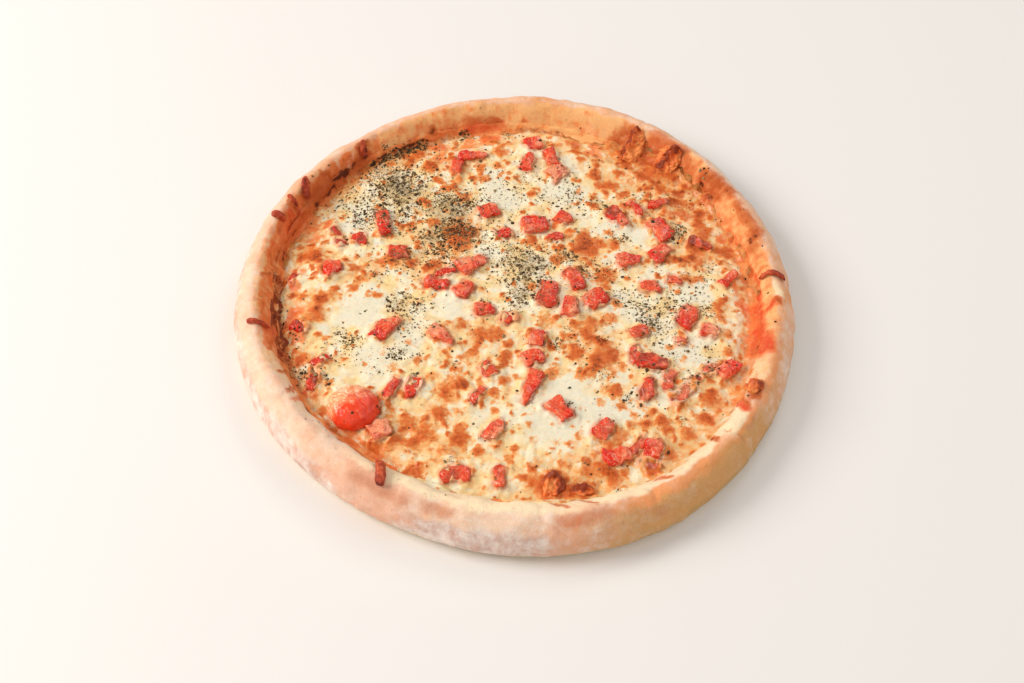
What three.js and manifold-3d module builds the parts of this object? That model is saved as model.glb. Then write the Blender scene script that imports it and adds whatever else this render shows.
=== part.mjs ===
// A baked pizza with a puffed rim: dough, a skin of sauce, a melted cheese layer with dried herb
// flakes in it, diced tomato, half a cherry tomato, and shreds and blisters of browned cheese.
// Millimetres, +Z up. The pizza lies on its flat underside, with the origin under its middle.
import * as THREE from 'three';
import { mergeVertices } from 'three/addons/utils/BufferGeometryUtils.js';
import Module from 'manifold-3d';

// Driving dimensions
const pizzaRadius = 130;
const rimWidth = 19;
const rimHeight = 20.6;
const doughThickness = 5;
const sauceThickness = 1.3;
const cheeseBottom = 6.9;
const cheeseTop = 10.3;
const cheeseRadius = 105.8;
const gap = 0.3;

// The outline and the rim's width, as gentle waves round the pizza: how many lobes, how much along
// the cosine and how much along the sine.
const outlineWaves = [[2, -2.5, 0.4], [3, -1.5, -0.3], [4, 0.2, 0.3], [5, 0.3, 0.15]];
const rimWaves = [[1, 0.5, -2.35], [2, -1.4, 0.6], [4, 0.8, 0.4]];
const cheeseEdgeWaves = [[1, 1, -0.3], [5, 0.4, -0.6], [9, -0.3, 0.4], [13, 0.2, 0.2]];
const lipWaves = [[1, -2.2, 0.5], [3, 0.4, 0.3], [7, 0.3, -0.3]];

// The rim's section outside the base: distance from the middle of an even pizza, and height.
const outerSide = [
  [125, 0], [128.2, 1.6], [129.8, 5], [pizzaRadius, 8.5], [129.1, 12.4], [126.6, 16.6], [123.2, 19.6],
];
const innerWall = [
  [119.4, rimHeight], [116.2, 18.9], [113.8, 15.6], [112, 11.5], [110.6, 8], [109.4, doughThickness],
];

const colours = {
  crust: 0xe9bf92,
  sauce: 0xb9532a,
  cheese: 0xf3dfae,
  tomato: 0xdd4a34,
  browned: 0x8e4426,
};

const wasm = await Module();
wasm.setup();

// Repeatable random numbers from 0 to 1.
function seeded(seed) {
  let state = seed;
  return () => {
    state = (state * 1664525 + 1013904223) % 4294967296;
    return state / 4294967296;
  };
}

const wave = (angle, waves) => waves.reduce(
  (sum, [lobes, along, across]) => sum + along * Math.cos(lobes * angle) + across * Math.sin(lobes * angle),
  0,
);
const { lerp, smoothstep } = THREE.MathUtils;

// Moves every vertex of a geometry by a function that changes the vertex in place.
function shape(geometry, move) {
  geometry.deleteAttribute('normal');
  geometry.deleteAttribute('uv');
  const merged = mergeVertices(geometry, 1e-4);
  const places = merged.attributes.position;
  const point = new THREE.Vector3();
  for (let i = 0; i < places.count; i += 1) {
    point.fromBufferAttribute(places, i);
    move(point);
    places.setXYZ(i, point.x, point.y, point.z);
  }
  return merged;
}

// A turned profile of [radius, height] points, standing on +Z.
function turned(profile, segments) {
  const points = profile.map(([radius, height]) => new THREE.Vector2(radius, height));
  return new THREE.LatheGeometry(points, segments).rotateX(Math.PI / 2);
}

function toSolid(geometry) {
  return new wasm.Manifold(new wasm.Mesh({
    numProp: 3,
    vertProperties: geometry.attributes.position.array,
    triVerts: new Uint32Array(geometry.index.array),
  }));
}

function toGeometry(solid) {
  const { vertProperties, triVerts } = solid.getMesh();
  return new THREE.BufferGeometry()
    .setAttribute('position', new THREE.BufferAttribute(vertProperties, 3))
    .setIndex(new THREE.BufferAttribute(triVerts, 1));
}

// A point of an even, round pizza goes to its place on the real, uneven one.
const evenInside = pizzaRadius - rimWidth;
function makeUneven(point) {
  const radius = Math.hypot(point.x, point.y);
  if (radius === 0) return;
  const angle = Math.atan2(point.y, point.x);
  const width = rimWidth + wave(angle, rimWaves);
  const inside = pizzaRadius + wave(angle, outlineWaves) - width;
  const moved = radius < evenInside
    ? radius * inside / evenInside
    : inside + (radius - evenInside) * width / rimWidth;
  point.x *= moved / radius;
  point.y *= moved / radius;
}

// The even radius of the rim's inner wall at a height.
function wallRadius(height) {
  const upper = innerWall.findLastIndex(([, level]) => level >= height);
  const [[highRadius, high], [lowRadius, low]] = innerWall.slice(upper, upper + 2);
  return lerp(lowRadius, highRadius, (height - low) / (high - low));
}

// Dough: base and puffed rim in one, with swellings and hollows along the rim.
const crustSegments = 96;
const swellingCount = 17;
const swellings = (() => {
  const random = seeded(11);
  return Array.from({ length: swellingCount }, (_, i) => ({
    angle: (i + random()) / swellingCount * Math.PI * 2,
    spread: 0.07 + 0.13 * random(),
    rise: -0.9 + 2.4 * random(),
    side: -0.5 + random(),
  }));
})();

function swell(angle, key) {
  return swellings.reduce((sum, swelling) => {
    const away = Math.abs(Math.atan2(Math.sin(angle - swelling.angle), Math.cos(angle - swelling.angle)));
    return sum + swelling[key] * Math.exp(-((away / swelling.spread) ** 2));
  }, 0);
}

function makeCrust() {
  const profile = [[0, 0], ...outerSide, ...innerWall, [0, doughThickness]];
  return shape(turned(profile, crustSegments), (point) => {
    const radius = Math.hypot(point.x, point.y);
    const angle = Math.atan2(point.y, point.x);
    const onTop = smoothstep(radius, 115, 119) * smoothstep(point.z, 10, 18);
    const onSide = smoothstep(radius, 122, 127) * smoothstep(point.z, 1, 5);
    makeUneven(point);
    point.z += onTop * swell(angle, 'rise');
    const push = 1 + onSide * swell(angle, 'side') / pizzaRadius;
    point.x *= push;
    point.y *= push;
  });
}

// Sauce: a thin dish on the dough, whose lip climbs the rim's inner wall.
const sauceSegments = 48;
const sauceBottom = doughThickness + gap;
const sauceTop = sauceBottom + sauceThickness;
const sauceRadius = 108.2;
const lipHeight = 11;
const lipSlope = 0.4;

function makeSauce() {
  const clear = gap + 0.1;
  const lipLevels = [sauceBottom, 7.6, 9.3, lipHeight];
  const outside = lipLevels.map((level) => [wallRadius(level) - clear, level]);
  const inside = lipLevels.slice(1).reverse()
    .map((level) => [wallRadius(level) - clear - sauceThickness, level - lipSlope]);
  const profile = [[0, sauceBottom], ...outside, ...inside, [sauceRadius, sauceTop], [0, sauceTop]];
  return shape(turned(profile, sauceSegments), (point) => {
    const radius = Math.hypot(point.x, point.y);
    const angle = Math.atan2(point.y, point.x);
    if (point.z > sauceTop) {
      const stretch = 1 + wave(angle, lipWaves) / (lipHeight - sauceTop);
      const level = sauceTop + (point.z - sauceTop) * stretch;
      const follow = (radius + wallRadius(level) - wallRadius(point.z)) / radius;
      point.set(point.x * follow, point.y * follow, level);
    }
    makeUneven(point);
  });
}

// Cheese: a melted layer with a rolling top that thins towards its edge.
const cheeseCells = 24;
const cheeseEdgeDrop = 1.6;

function cheeseHeight(x, y) {
  const swells = 0.45 * Math.sin(x / 15 + 1.3) * Math.cos(y / 13 - 0.6)
    + 0.3 * Math.sin((x + y) / 9 + 2.1) * Math.cos((x - y) / 10.5);
  const out = Math.hypot(x, y) / cheeseRadius;
  return cheeseTop + swells - cheeseEdgeDrop * smoothstep(out, 0.93, 1);
}

// A point of the square from -1 to 1 goes to the unit disc, keeping its cells much alike in size.
function squareToDisc(point) {
  const { x, y } = point;
  const wide = Math.abs(x) > Math.abs(y);
  const radius = wide ? x : y;
  const turn = radius === 0 ? 0 : Math.PI / 4 * (wide ? y : x) / radius;
  const angle = wide ? turn : Math.PI / 2 - turn;
  point.x = radius * Math.cos(angle);
  point.y = radius * Math.sin(angle);
}

function makeCheese() {
  const tuckedIn = 1;
  const slab = new THREE.BoxGeometry(2, 2, 2, cheeseCells, cheeseCells, 1);
  const rough = shape(slab, (point) => {
    squareToDisc(point);
    const onTop = point.z > 0;
    const angle = Math.atan2(point.y, point.x);
    const edge = cheeseRadius + wave(angle, cheeseEdgeWaves) - (onTop ? 0 : tuckedIn);
    point.x *= edge;
    point.y *= edge;
    makeUneven(point);
    point.z = onTop ? cheeseHeight(point.x, point.y) : 0;
  });
  const below = new THREE.BoxGeometry(3 * pizzaRadius, 3 * pizzaRadius, 2 * cheeseBottom);
  return toSolid(rough).subtract(toSolid(shape(below, () => {})));
}

// Tomato: [x, y, length, width, turn in degrees, taper], the taper drawing one end in.
const tomatoHeight = 5.2;
const tomatoSunk = 1.9;
const tomatoPieces = [
  [-26, 90, 17, 6, 8, 0.2], [-33, 83, 11, 6, 84, 0.3], [4, 101, 10, 10, 20, 0.1],
  [1.5, 87.5, 12, 8, 80, 0.3], [12.9, 91, 13, 6, -70, 0.2], [16, 81, 10, 10, 40, 0.2],
  [6.6, 45.7, 13, 12, 10, 0.3], [20.3, 49.8, 10, 8, -30, 0.4], [-16, 52.5, 10, 10, 30, 0.2],
  [-22.4, 18.7, 15, 12, 35, 0.5], [-38, 5.5, 13, 8, -12, 0.3], [-25, 3, 10, 10, 50, 0.4],
  [-15.5, -8.6, 10, 8, 12, 0.2], [13.4, 2.7, 16, 10, 84, 0.1], [25.6, 11.7, 14, 8, -65, 0.2],
  [23.2, -4.2, 12, 8, 88, 0.3], [35.6, 1.2, 12, 10, 45, 0.2], [46, 52.4, 14, 8, -40, 0.4],
  [54.4, 59, 12, 5, -50, 0.3], [65, 63, 11, 6, 15, 0.3], [65.3, 46.4, 15, 11, -50, 0.2],
  [64.9, 30.6, 13, 10, 45, 0.3], [50.4, 25.2, 12, 10, 10, 0.4], [97, 16.5, 13, 5, 45, 0.2],
  [84, 38, 13, 6, -20, 0.3], [76.4, -7.2, 14, 9, 64, 0.1], [86.6, -15.4, 9, 8, -8, 0.1],
  [-65.4, 41.6, 17, 7, -75, 0.2], [-57.4, 23.6, 10, 8, 4, 0.1], [-86, 12, 9, 9, 20, 0.2],
  [-59, -23, 16, 10, 62, 0.3], [-33.6, -25.4, 14, 9, -42, 0.7], [9.6, -23.6, 12, 9, 86, 0.2],
  [6.8, -34.8, 10, 9, 30, 0.3], [7.4, -51, 21, 8, 76, -0.7], [20, -63.2, 14, 9, -52, 0.2],
  [38.4, -71.6, 12, 9, 60, 0.4], [44.4, -85, 13, 9, 12, 0.2], [59.8, -79.6, 10, 8, 75, 0.2],
  [93.8, -35.6, 11, 8, 38, 0.2], [60.4, -34.8, 13, 8, -12, 0.2], [58.4, -49.4, 14, 7, 84, 0.1],
  [-55.4, -77.4, 12, 12, 25, 0.3], [-7.6, -75, 12, 9, 64, 0.6],
];

// Smaller tomato bits, fused into the cheese: [x, y, length, width, turn in degrees].
const bitHeight = 4;
const bitSunk = 2.2;
const tomatoBits = [
  [-34.6, 13.6, 9, 4, 25], [-8.2, 39, 8, 6, 20], [60, 10.4, 9, 6, 10], [-86, 32, 12, 4, -65],
  [-16, -57.4, 11, 3.5, 60], [53.4, -79.4, 10, 5, 45], [52.2, -30.6, 10, 4.5, 88], [67.4, -43.4, 10, 5, 72],
  [73.6, -51, 12, 5, 52], [-53.2, -55.4, 12, 4, 70], [-44, -54, 11, 5, 82], [-85, -41.4, 9, 4, 42],
  [-87.6, -53.6, 10, 4, 84], [-97.4, -24, 8, 5, -30], [-23, -97.6, 12, 6, 8], [-4.6, -97.4, 10, 5, 86],
  [-12.4, -42, 8, 6, -50], [54.4, -17.4, 7, 6, 30], [73.4, -21.6, 6, 4, 10], [57.6, -87.8, 9, 4, -12],
  [-4, -12.8, 7, 5, 0], [71.6, 15, 7, 5, 0], [86, -37.6, 7, 6, 20], [-104, 5, 6, 4, 80],
  [15.4, 38.6, 8, 4.5, 10], [-76, 31.4, 7, 6, 0], [79.6, -42.4, 6, 4, 30],
];

// A block from -1 to 1 each way becomes an uneven chunk with rounded corners and edges. Upright sides
// keep the chunk's widest outline from top to bottom.
function makeChunk(place, height, bottom, random, cells = 2, upright = false) {
  const [x, y, length, width, turn, taper = 0.2] = place;
  const roundness = 0.42;
  const unevenness = 0.14;
  const lean = (random() - 0.5) * (upright ? 0 : 0.16);
  const corners = Array.from({ length: 4 }, () => 1 + unevenness * (random() - 0.5) * 2);
  return shape(new THREE.BoxGeometry(2, 2, 2, cells, cells, upright ? 1 : cells), (point) => {
    const { x: u, y: v, z: w } = point;
    const rounding = upright ? 0 : w * w;
    const ball = [
      u * Math.sqrt(1 - v * v / 2 - rounding / 2 + v * v * rounding / 3),
      v * Math.sqrt(1 - rounding / 2 - u * u / 2 + rounding * u * u / 3),
      upright ? w : w * Math.sqrt(1 - u * u / 2 - v * v / 2 + u * u * v * v / 3),
    ];
    const corner = corners[(u > 0 ? 1 : 0) + (v > 0 ? 2 : 0)];
    const drawn = 1 - Math.abs(taper) / 2 * (1 + Math.sign(taper) * u);
    point.set(
      lerp(u, ball[0], roundness) * length / 2 * corner,
      lerp(v, ball[1], roundness) * width / 2 * corner * drawn,
      (lerp(w, ball[2], roundness) + 1 + lean * u) * height / 2,
    );
    point.applyAxisAngle(new THREE.Vector3(0, 0, 1), THREE.MathUtils.degToRad(turn));
    point.add(new THREE.Vector3(x, y, bottom));
  });
}

// The pocket that a chunk lies in, with a gap round it.
function makePocket([x, y, length, width, turn, taper], height, bottom, random) {
  const bigger = [x, y, length + gap * 2.2, width + gap * 2.6, turn, taper];
  return makeChunk(bigger, height + gap * 2, bottom - gap, random, 2, true);
}

function makeTomatoes(firstPocket) {
  const pieces = [];
  const pockets = [firstPocket];
  tomatoPieces.forEach((place, i) => {
    const bottom = cheeseHeight(place[0], place[1]) - tomatoSunk;
    let solid = toSolid(makeChunk(place, tomatoHeight, bottom, seeded(100 + i)));
    pockets.forEach((pocket) => {
      solid = solid.subtract(pocket);
    });
    pieces.push(solid);
    pockets.push(toSolid(makePocket(place, tomatoHeight, bottom, seeded(100 + i))));
  });
  return { pieces, pockets };
}

// Half a cherry tomato, skin side up, wrinkled by the heat.
const cherryPlace = new THREE.Vector2(-68.2, -67);
const cherryRadius = 11.3;
const cherryHeight = 9.6;
const cherrySunk = 1.8;

function makeCherryTomato(extra) {
  const wrinkles = 9;
  const wrinkleDepth = 0.025;
  const bottom = cheeseHeight(cherryPlace.x, cherryPlace.y) - cherrySunk - extra;
  const radius = cherryRadius + extra;
  const height = cherryHeight + 2 * extra;
  const profile = [
    [0, 0], [0.86, 0], [0.98, 0.12], [1, 0.3], [0.95, 0.52], [0.82, 0.74], [0.6, 0.9], [0.3, 0.98], [0, 1],
  ];
  return shape(turned(profile, 22), (point) => {
    const out = Math.hypot(point.x, point.y);
    const angle = Math.atan2(point.y, point.x);
    const crease = 1 + wrinkleDepth * Math.cos(wrinkles * angle + 3 * point.z) * out;
    point.set(point.x * radius * crease, point.y * radius * crease, point.z * height);
    point.add(new THREE.Vector3(cherryPlace.x, cherryPlace.y, bottom));
  });
}

// Dried herb flakes, fused into the cheese, thickest in a few heaps: [x, y, radius, how many].
const flakeThickness = 1.5;
const flakeSunk = 0.7;
const herbHeaps = [
  [-62, 70, 16, 12], [-32, 61, 13, 9], [-33, 37, 14, 10], [2, 16, 14, 7], [62, -2, 15, 5],
  [-50, -6, 12, 4], [-68, -33, 14, 4], [28, 66, 16, 4], [36, -48, 22, 3],
];

function flakePlaces(clearOf) {
  const random = seeded(71);
  const spacing = 4.6;
  const mostTries = 400;
  const inside = cheeseRadius - 8;
  const places = [];
  herbHeaps.forEach(([x, y, radius, count]) => {
    let left = count;
    for (let tries = 0; left > 0 && tries < mostTries; tries += 1) {
      const away = radius * Math.sqrt(random());
      const angle = random() * Math.PI * 2;
      const place = new THREE.Vector2(x + away * Math.cos(angle), y + away * Math.sin(angle));
      const apart = places.every((other) => other.distanceTo(place) > spacing);
      if (apart && place.length() < inside && clearOf(place)) {
        places.push(place);
        left -= 1;
      }
    }
  });
  return places;
}

function makeFlake(place, random) {
  const length = 2.6 + 1.6 * random();
  const width = length * (0.5 + 0.25 * random());
  const turn = random() * Math.PI;
  const lean = (random() - 0.5) * 0.5;
  const sides = 4;
  return shape(new THREE.CylinderGeometry(0.8, 1, 1, sides).rotateX(Math.PI / 2), (point) => {
    point.set(point.x * length / 2, point.y * width / 2, point.z * flakeThickness);
    point.applyAxisAngle(new THREE.Vector3(1, 0, 0), lean);
    point.applyAxisAngle(new THREE.Vector3(0, 0, 1), turn);
    point.z += cheeseHeight(place.x, place.y) + flakeThickness / 2 - flakeSunk;
    point.x += place.x;
    point.y += place.y;
  });
}

// Browned cheese over the rim: the foot of each piece follows the surface under it.
const ray = new THREE.Raycaster();
const straightDown = new THREE.Vector3(0, 0, -1);
function surfaceUnder(meshes, x, y, reach) {
  const around = [[0, 0], [reach, 0], [-reach, 0], [0, reach], [0, -reach]];
  return Math.max(...around.map(([aside, ahead]) => {
    ray.set(new THREE.Vector3(x + aside, y + ahead, 100), straightDown);
    return ray.intersectObjects(meshes, false)[0].point.z;
  }));
}

// Shreds: where each starts, passes and ends, its width and its thickness.
const shreds = [
  { from: [109.6, 12.6], over: [115.4, 15.4], to: [121.6, 10.6], width: 2.8, thickness: 1.8 },
  { from: [-103.6, 59], over: [-103.2, 54.6], to: [-103.6, 49.6], width: 4.2, thickness: 2.4 },
  { from: [-111.2, 46.6], over: [-107, 45.6], to: [-104.6, 41.8], width: 2.2, thickness: 1.6 },
  { from: [-117, 35], over: [-113, 33.6], to: [-109.6, 34.4], width: 3.6, thickness: 2 },
  { from: [-118.8, -29.8], over: [-113, -30.8], to: [-108.6, -28.8], width: 2.4, thickness: 1.6 },
  { from: [-53.6, -96.6], over: [-52.4, -104], to: [-52.6, -111.6], width: 5, thickness: 2.8 },
  { from: [-79.4, 87.4], over: [-78.8, 84.6], to: [-79, 81.4], width: 4, thickness: 2.2 },
];

function makeShred({ from, over, to, width, thickness }, under) {
  const spine = new THREE.QuadraticBezierCurve(...[from, over, to].map(([x, y]) => new THREE.Vector2(x, y)));
  const length = spine.getLength();
  const stick = new THREE.CapsuleGeometry(width / 2, length - width, 2, 6, 4).rotateZ(Math.PI / 2);
  return shape(stick, (point) => {
    const along = THREE.MathUtils.clamp(point.x / length + 0.5, 0, 1);
    const middle = spine.getPoint(along);
    const side = spine.getTangent(along).rotateAround(new THREE.Vector2(), Math.PI / 2);
    const x = middle.x + side.x * point.y;
    const y = middle.y + side.y * point.y;
    const up = (point.z / width + 0.5) * thickness;
    point.set(x, y, surfaceUnder(under, x, y, 0.6) + gap + up);
  });
}

// Blisters: burst bubbles of browned cheese, each a dome with a ridge torn up along one side.
const blisters = [
  { at: [54, 99.6], size: [16, 11], turn: 62, height: 5.6 },
  { at: [70.6, 91], size: [14, 11], turn: -28, height: 5 },
  { at: [17.8, -100.6], size: [12, 10.4], turn: 70, height: 4.4 },
  { at: [29.8, -102.4], size: [11, 6.4], turn: 6, height: 3.4 },
  { at: [102.6, -51], size: [9.6, 8.4], turn: 60, height: 2.6 },
];

function makeBlister({ at, size, turn, height }, under) {
  const dome = new THREE.SphereGeometry(1, 14, 8).rotateX(Math.PI / 2);
  const heading = THREE.MathUtils.degToRad(turn);
  return shape(dome, (point) => {
    const ridge = Math.exp(-(((point.y - 0.35) / 0.3) ** 2)) * smoothstep(point.z, 0, 0.6);
    const lumps = 0.08 * Math.sin(5 * point.x + 2 * point.y);
    const up = Math.max(point.z, 0) * (0.8 + 0.35 * ridge + lumps);
    const place = new THREE.Vector2(point.x * size[0] / 2, point.y * size[1] / 2);
    place.rotateAround(new THREE.Vector2(), heading).add(new THREE.Vector2(...at));
    const foot = surfaceUnder(under, place.x, place.y, 1.6) + gap + 0.1;
    const skirt = 0.5 * (1 + Math.min(point.z, 0));
    point.set(place.x, place.y, foot + skirt + up * height);
  });
}

// The whole, put together from the dough up.
const pizza = new THREE.Group();
function add(name, geometry, colour, roughness = 0.6) {
  const material = new THREE.MeshStandardMaterial({ color: colour, roughness, metalness: 0 });
  const mesh = new THREE.Mesh(geometry, material);
  mesh.name = name;
  pizza.add(mesh);
  return mesh;
}
const numbered = (name, i) => `${name}_${String(i + 1).padStart(2, '0')}`;

const crust = add('crust', makeCrust(), colours.crust, 0.8);
const sauce = add('sauce', makeSauce(), colours.sauce, 0.4);
const { pieces, pockets } = makeTomatoes(toSolid(makeCherryTomato(gap)));
pieces.forEach((solid, i) => add(numbered('tomato', i), toGeometry(solid), colours.tomato, 0.3));
add('cherry_tomato', makeCherryTomato(0), colours.tomato, 0.2);

let cheese = makeCheese();
tomatoBits.forEach((place, i) => {
  const bottom = Math.max(cheeseHeight(place[0], place[1]) - bitSunk, cheeseBottom + gap);
  cheese = cheese.add(toSolid(makeChunk(place, bitHeight, bottom, seeded(300 + i), 1)));
});
const crowded = [...tomatoPieces, ...tomatoBits];
const flakeReach = 2.4;
const clearOfPieces = (place) => crowded.every(
  ([x, y, length]) => place.distanceTo(new THREE.Vector2(x, y)) > length / 2 + flakeReach,
);
flakePlaces(clearOfPieces).forEach((place, i) => {
  cheese = cheese.add(toSolid(makeFlake(place, seeded(500 + i))));
});
pockets.forEach((pocket) => {
  cheese = cheese.subtract(pocket);
});
const cheeseMesh = add('cheese', toGeometry(cheese), colours.cheese, 0.4);

const under = [crust, sauce, cheeseMesh];
shreds.forEach((shred, i) => add(numbered('cheese_shred', i), makeShred(shred, under), colours.browned));
blisters.forEach((blister, i) => {
  add(numbered('cheese_blister', i), makeBlister(blister, under), colours.browned);
});

// The outline's box is centred on the origin.
const box = new THREE.Box3().setFromObject(crust);
const middle = box.getCenter(new THREE.Vector3());
pizza.position.set(-middle.x, -middle.y, -box.min.z);

export default pizza;
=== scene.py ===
# Margherita pizza: floury baked rim, melted cheese with browned spots and oil, diced tomato,
# half a cherry tomato and dried herb flakes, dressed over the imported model.
import math
import random
from contextlib import contextmanager

import bpy
import numpy as np
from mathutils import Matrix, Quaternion, Vector, noise
from mathutils.bvhtree import BVHTree


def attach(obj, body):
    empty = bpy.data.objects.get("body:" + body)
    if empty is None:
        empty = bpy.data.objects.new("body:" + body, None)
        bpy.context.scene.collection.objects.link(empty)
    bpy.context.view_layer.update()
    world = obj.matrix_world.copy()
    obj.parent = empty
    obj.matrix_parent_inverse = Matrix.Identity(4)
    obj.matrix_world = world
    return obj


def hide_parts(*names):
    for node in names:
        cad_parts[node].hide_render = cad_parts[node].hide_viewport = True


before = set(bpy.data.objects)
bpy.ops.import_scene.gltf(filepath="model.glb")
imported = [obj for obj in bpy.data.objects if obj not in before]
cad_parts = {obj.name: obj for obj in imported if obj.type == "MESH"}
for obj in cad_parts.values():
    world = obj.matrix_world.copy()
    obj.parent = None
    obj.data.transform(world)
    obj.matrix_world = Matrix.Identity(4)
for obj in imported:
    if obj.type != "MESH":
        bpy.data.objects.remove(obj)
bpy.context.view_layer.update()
print("frame loaded:", len(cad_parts), "nodes")

# All sizes and places below are in millimetres; meshes are in metres.
perMetre = 1000
offCentre = np.array([1.3, -0.37])  # the outline's own middle, from which toppings are placed
wellAbove = 60


# Selecting, editing and moving vertices.

def takeInHand(piece):
    if bpy.context.mode != "OBJECT":
        bpy.ops.object.mode_set(mode="OBJECT")
    bpy.ops.object.select_all(action="DESELECT")
    piece.select_set(True)
    bpy.context.view_layer.objects.active = piece


@contextmanager
def editing(piece, select="SELECT"):
    takeInHand(piece)
    bpy.ops.object.mode_set(mode="EDIT")
    bpy.ops.mesh.select_all(action=select)
    yield
    bpy.ops.object.mode_set(mode="OBJECT")


def finishWith(piece, kind, **settings):
    takeInHand(piece)
    modifier = piece.modifiers.new(kind.title(), kind)
    for setting, value in settings.items():
        setattr(modifier, setting, value)
    bpy.ops.object.modifier_apply(modifier=modifier.name)


def soften(piece, cell, passes):
    finishWith(piece, "REMESH", mode="VOXEL", voxel_size=cell / perMetre, use_smooth_shade=True)
    finishWith(piece, "SMOOTH", factor=0.6, iterations=passes)


def copyOfNode(node, name):
    piece = bpy.data.objects.new(name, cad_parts[node].data.copy())
    bpy.context.scene.collection.objects.link(piece)
    with editing(piece):
        bpy.ops.mesh.remove_doubles(threshold=0.01 / perMetre)
        bpy.ops.mesh.tris_convert_to_quads(face_threshold=math.pi, shape_threshold=math.pi)
    return piece


def placesOf(piece, kind="co"):
    flat = np.empty(len(piece.data.vertices) * 3)
    piece.data.vertices.foreach_get(kind, flat)
    return flat.reshape(-1, 3) * (perMetre if kind == "co" else 1)


def placesAndNormals(piece):
    return placesOf(piece), placesOf(piece, "normal")


def moveTo(piece, places):
    piece.data.vertices.foreach_set("co", (places / perMetre).ravel())
    piece.data.update()


def writeMasks(piece, **masks):
    for name, values in masks.items():
        layer = piece.data.attributes.new(name, "FLOAT", "POINT")
        layer.data.foreach_set("value", np.clip(values, 0, 1).astype(np.float32))


def joinPieces(pieces, name):
    takeInHand(pieces[0])
    for piece in pieces:
        piece.select_set(True)
    bpy.ops.object.join()
    joined = bpy.context.object
    joined.name = joined.data.name = name
    return joined


def meshPiece(name, places, faces):
    mesh = bpy.data.meshes.new(name)
    mesh.from_pydata((np.asarray(places) / perMetre).tolist(), [], faces)
    piece = bpy.data.objects.new(name, mesh)
    bpy.context.scene.collection.objects.link(piece)
    return piece


def surfaceOf(*pieces):
    corners, faces = [], []
    for piece in pieces:
        start = len(corners)
        corners += placesOf(piece).tolist()
        faces += [[start + i for i in face.vertices] for face in piece.data.polygons]
    return BVHTree.FromPolygons(corners, faces)


def lookDown(surface, x, y):
    # place and normal where a plumb line from well above first touches
    return surface.ray_cast(Vector((x, y, wellAbove)), Vector((0, 0, -1)))[:2]


# Sums on many places at once.

def smooth(low, high, values):
    share = np.clip((values - low) / (high - low), 0, 1)
    return share * share * (3 - 2 * share)


def lumps(places, size, turn=0.0):
    return np.array([noise.noise(p) for p in (places / size + turn).tolist()])


def wave(angle, waves):
    return sum(along * np.cos(lobes * angle) + across * np.sin(lobes * angle)
               for lobes, along, across in waves)


def ragged(places, size, reach, turn):
    aside = lumps(places, size, turn)
    ahead = lumps(places, size, turn + 31.7)
    return places[:, :2] + reach * np.stack([aside, ahead], 1)


def spotMask(flat, spots, flatness=2.0):
    # spots are [x, y, size, strength]; each fades from its middle, and they add up towards 1
    bare = np.ones(len(flat))
    for x, y, size, strength in spots:
        away = np.hypot(flat[:, 0] - x - offCentre[0], flat[:, 1] - y - offCentre[1]) / (size / 2)
        bare *= 1 - strength * np.exp(-away ** flatness * 0.9)
    return 1 - bare


def arcShare(angle, middle, half):
    # 1 within half degrees of the middle one, fading to 0 over as much again
    turn = angle - math.radians(middle)
    away = np.abs(np.degrees(np.arctan2(np.sin(turn), np.cos(turn)))) / half
    return smooth(1.6, 0.4, away)


def arcMask(radius, angle, arcs):
    # arcs are [middle in degrees, half length in degrees, even radius reached, strength]
    mask = np.zeros(len(radius))
    for middle, half, reach, strength in arcs:
        share = strength * arcShare(angle, middle, half)
        mask = np.maximum(mask, share * smooth(reach + 2, reach - 2, radius))
    return mask


# The pizza's own shape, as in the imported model.

pizza = {
    "radius": 130, "rimWidth": 19, "cheeseRadius": 105.8, "cheeseTop": 10.3, "edgeDrop": 1.6,
    "outlineWaves": [[2, -2.5, 0.4], [3, -1.5, -0.3], [4, 0.2, 0.3], [5, 0.3, 0.15]],
    "rimWaves": [[1, 0.5, -2.35], [2, -1.4, 0.6], [4, 0.8, 0.4]],
    "cheeseEdgeWaves": [[1, 1, -0.3], [5, 0.4, -0.6], [9, -0.3, 0.4], [13, 0.2, 0.2]],
    # the rim seen in section: even radius and height
    "rimSection": [
        [100, 10.3], [110.8, 10.3], [111.6, 11.5], [113, 15], [114.8, 18.2], [117, 20], [119.5, 20.6],
        [122.5, 20], [125.8, 17.8], [128.4, 14], [129.8, 10.5], [130, 6]],
}


def insideAndWidth(angle):
    width = pizza["rimWidth"] + wave(angle, pizza["rimWaves"])
    return pizza["radius"] + wave(angle, pizza["outlineWaves"]) - width, width


def toUneven(radius, angle):
    inside, width = insideAndWidth(angle)
    evenInside = pizza["radius"] - pizza["rimWidth"]
    within = radius * inside / evenInside
    beyond = inside + (radius - evenInside) * width / pizza["rimWidth"]
    return np.where(radius < evenInside, within, beyond)


def toEven(radius, angle):
    inside, width = insideAndWidth(angle)
    evenInside = pizza["radius"] - pizza["rimWidth"]
    within = radius * evenInside / inside
    beyond = evenInside + (radius - inside) * pizza["rimWidth"] / width
    return np.where(radius < inside, within, beyond)


def evenPolar(places):
    flat = places[:, :2] - offCentre
    angle = np.arctan2(flat[:, 1], flat[:, 0])
    return toEven(np.hypot(flat[:, 0], flat[:, 1]), angle), angle


def onRimAt(degrees, radius):
    angle = math.radians(degrees)
    away = float(toUneven(np.array(radius), angle))
    height = np.interp(radius, *np.transpose(pizza["rimSection"]))
    return np.array([away * math.cos(angle), away * math.sin(angle), height]) + [*offCentre, 0]


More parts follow.
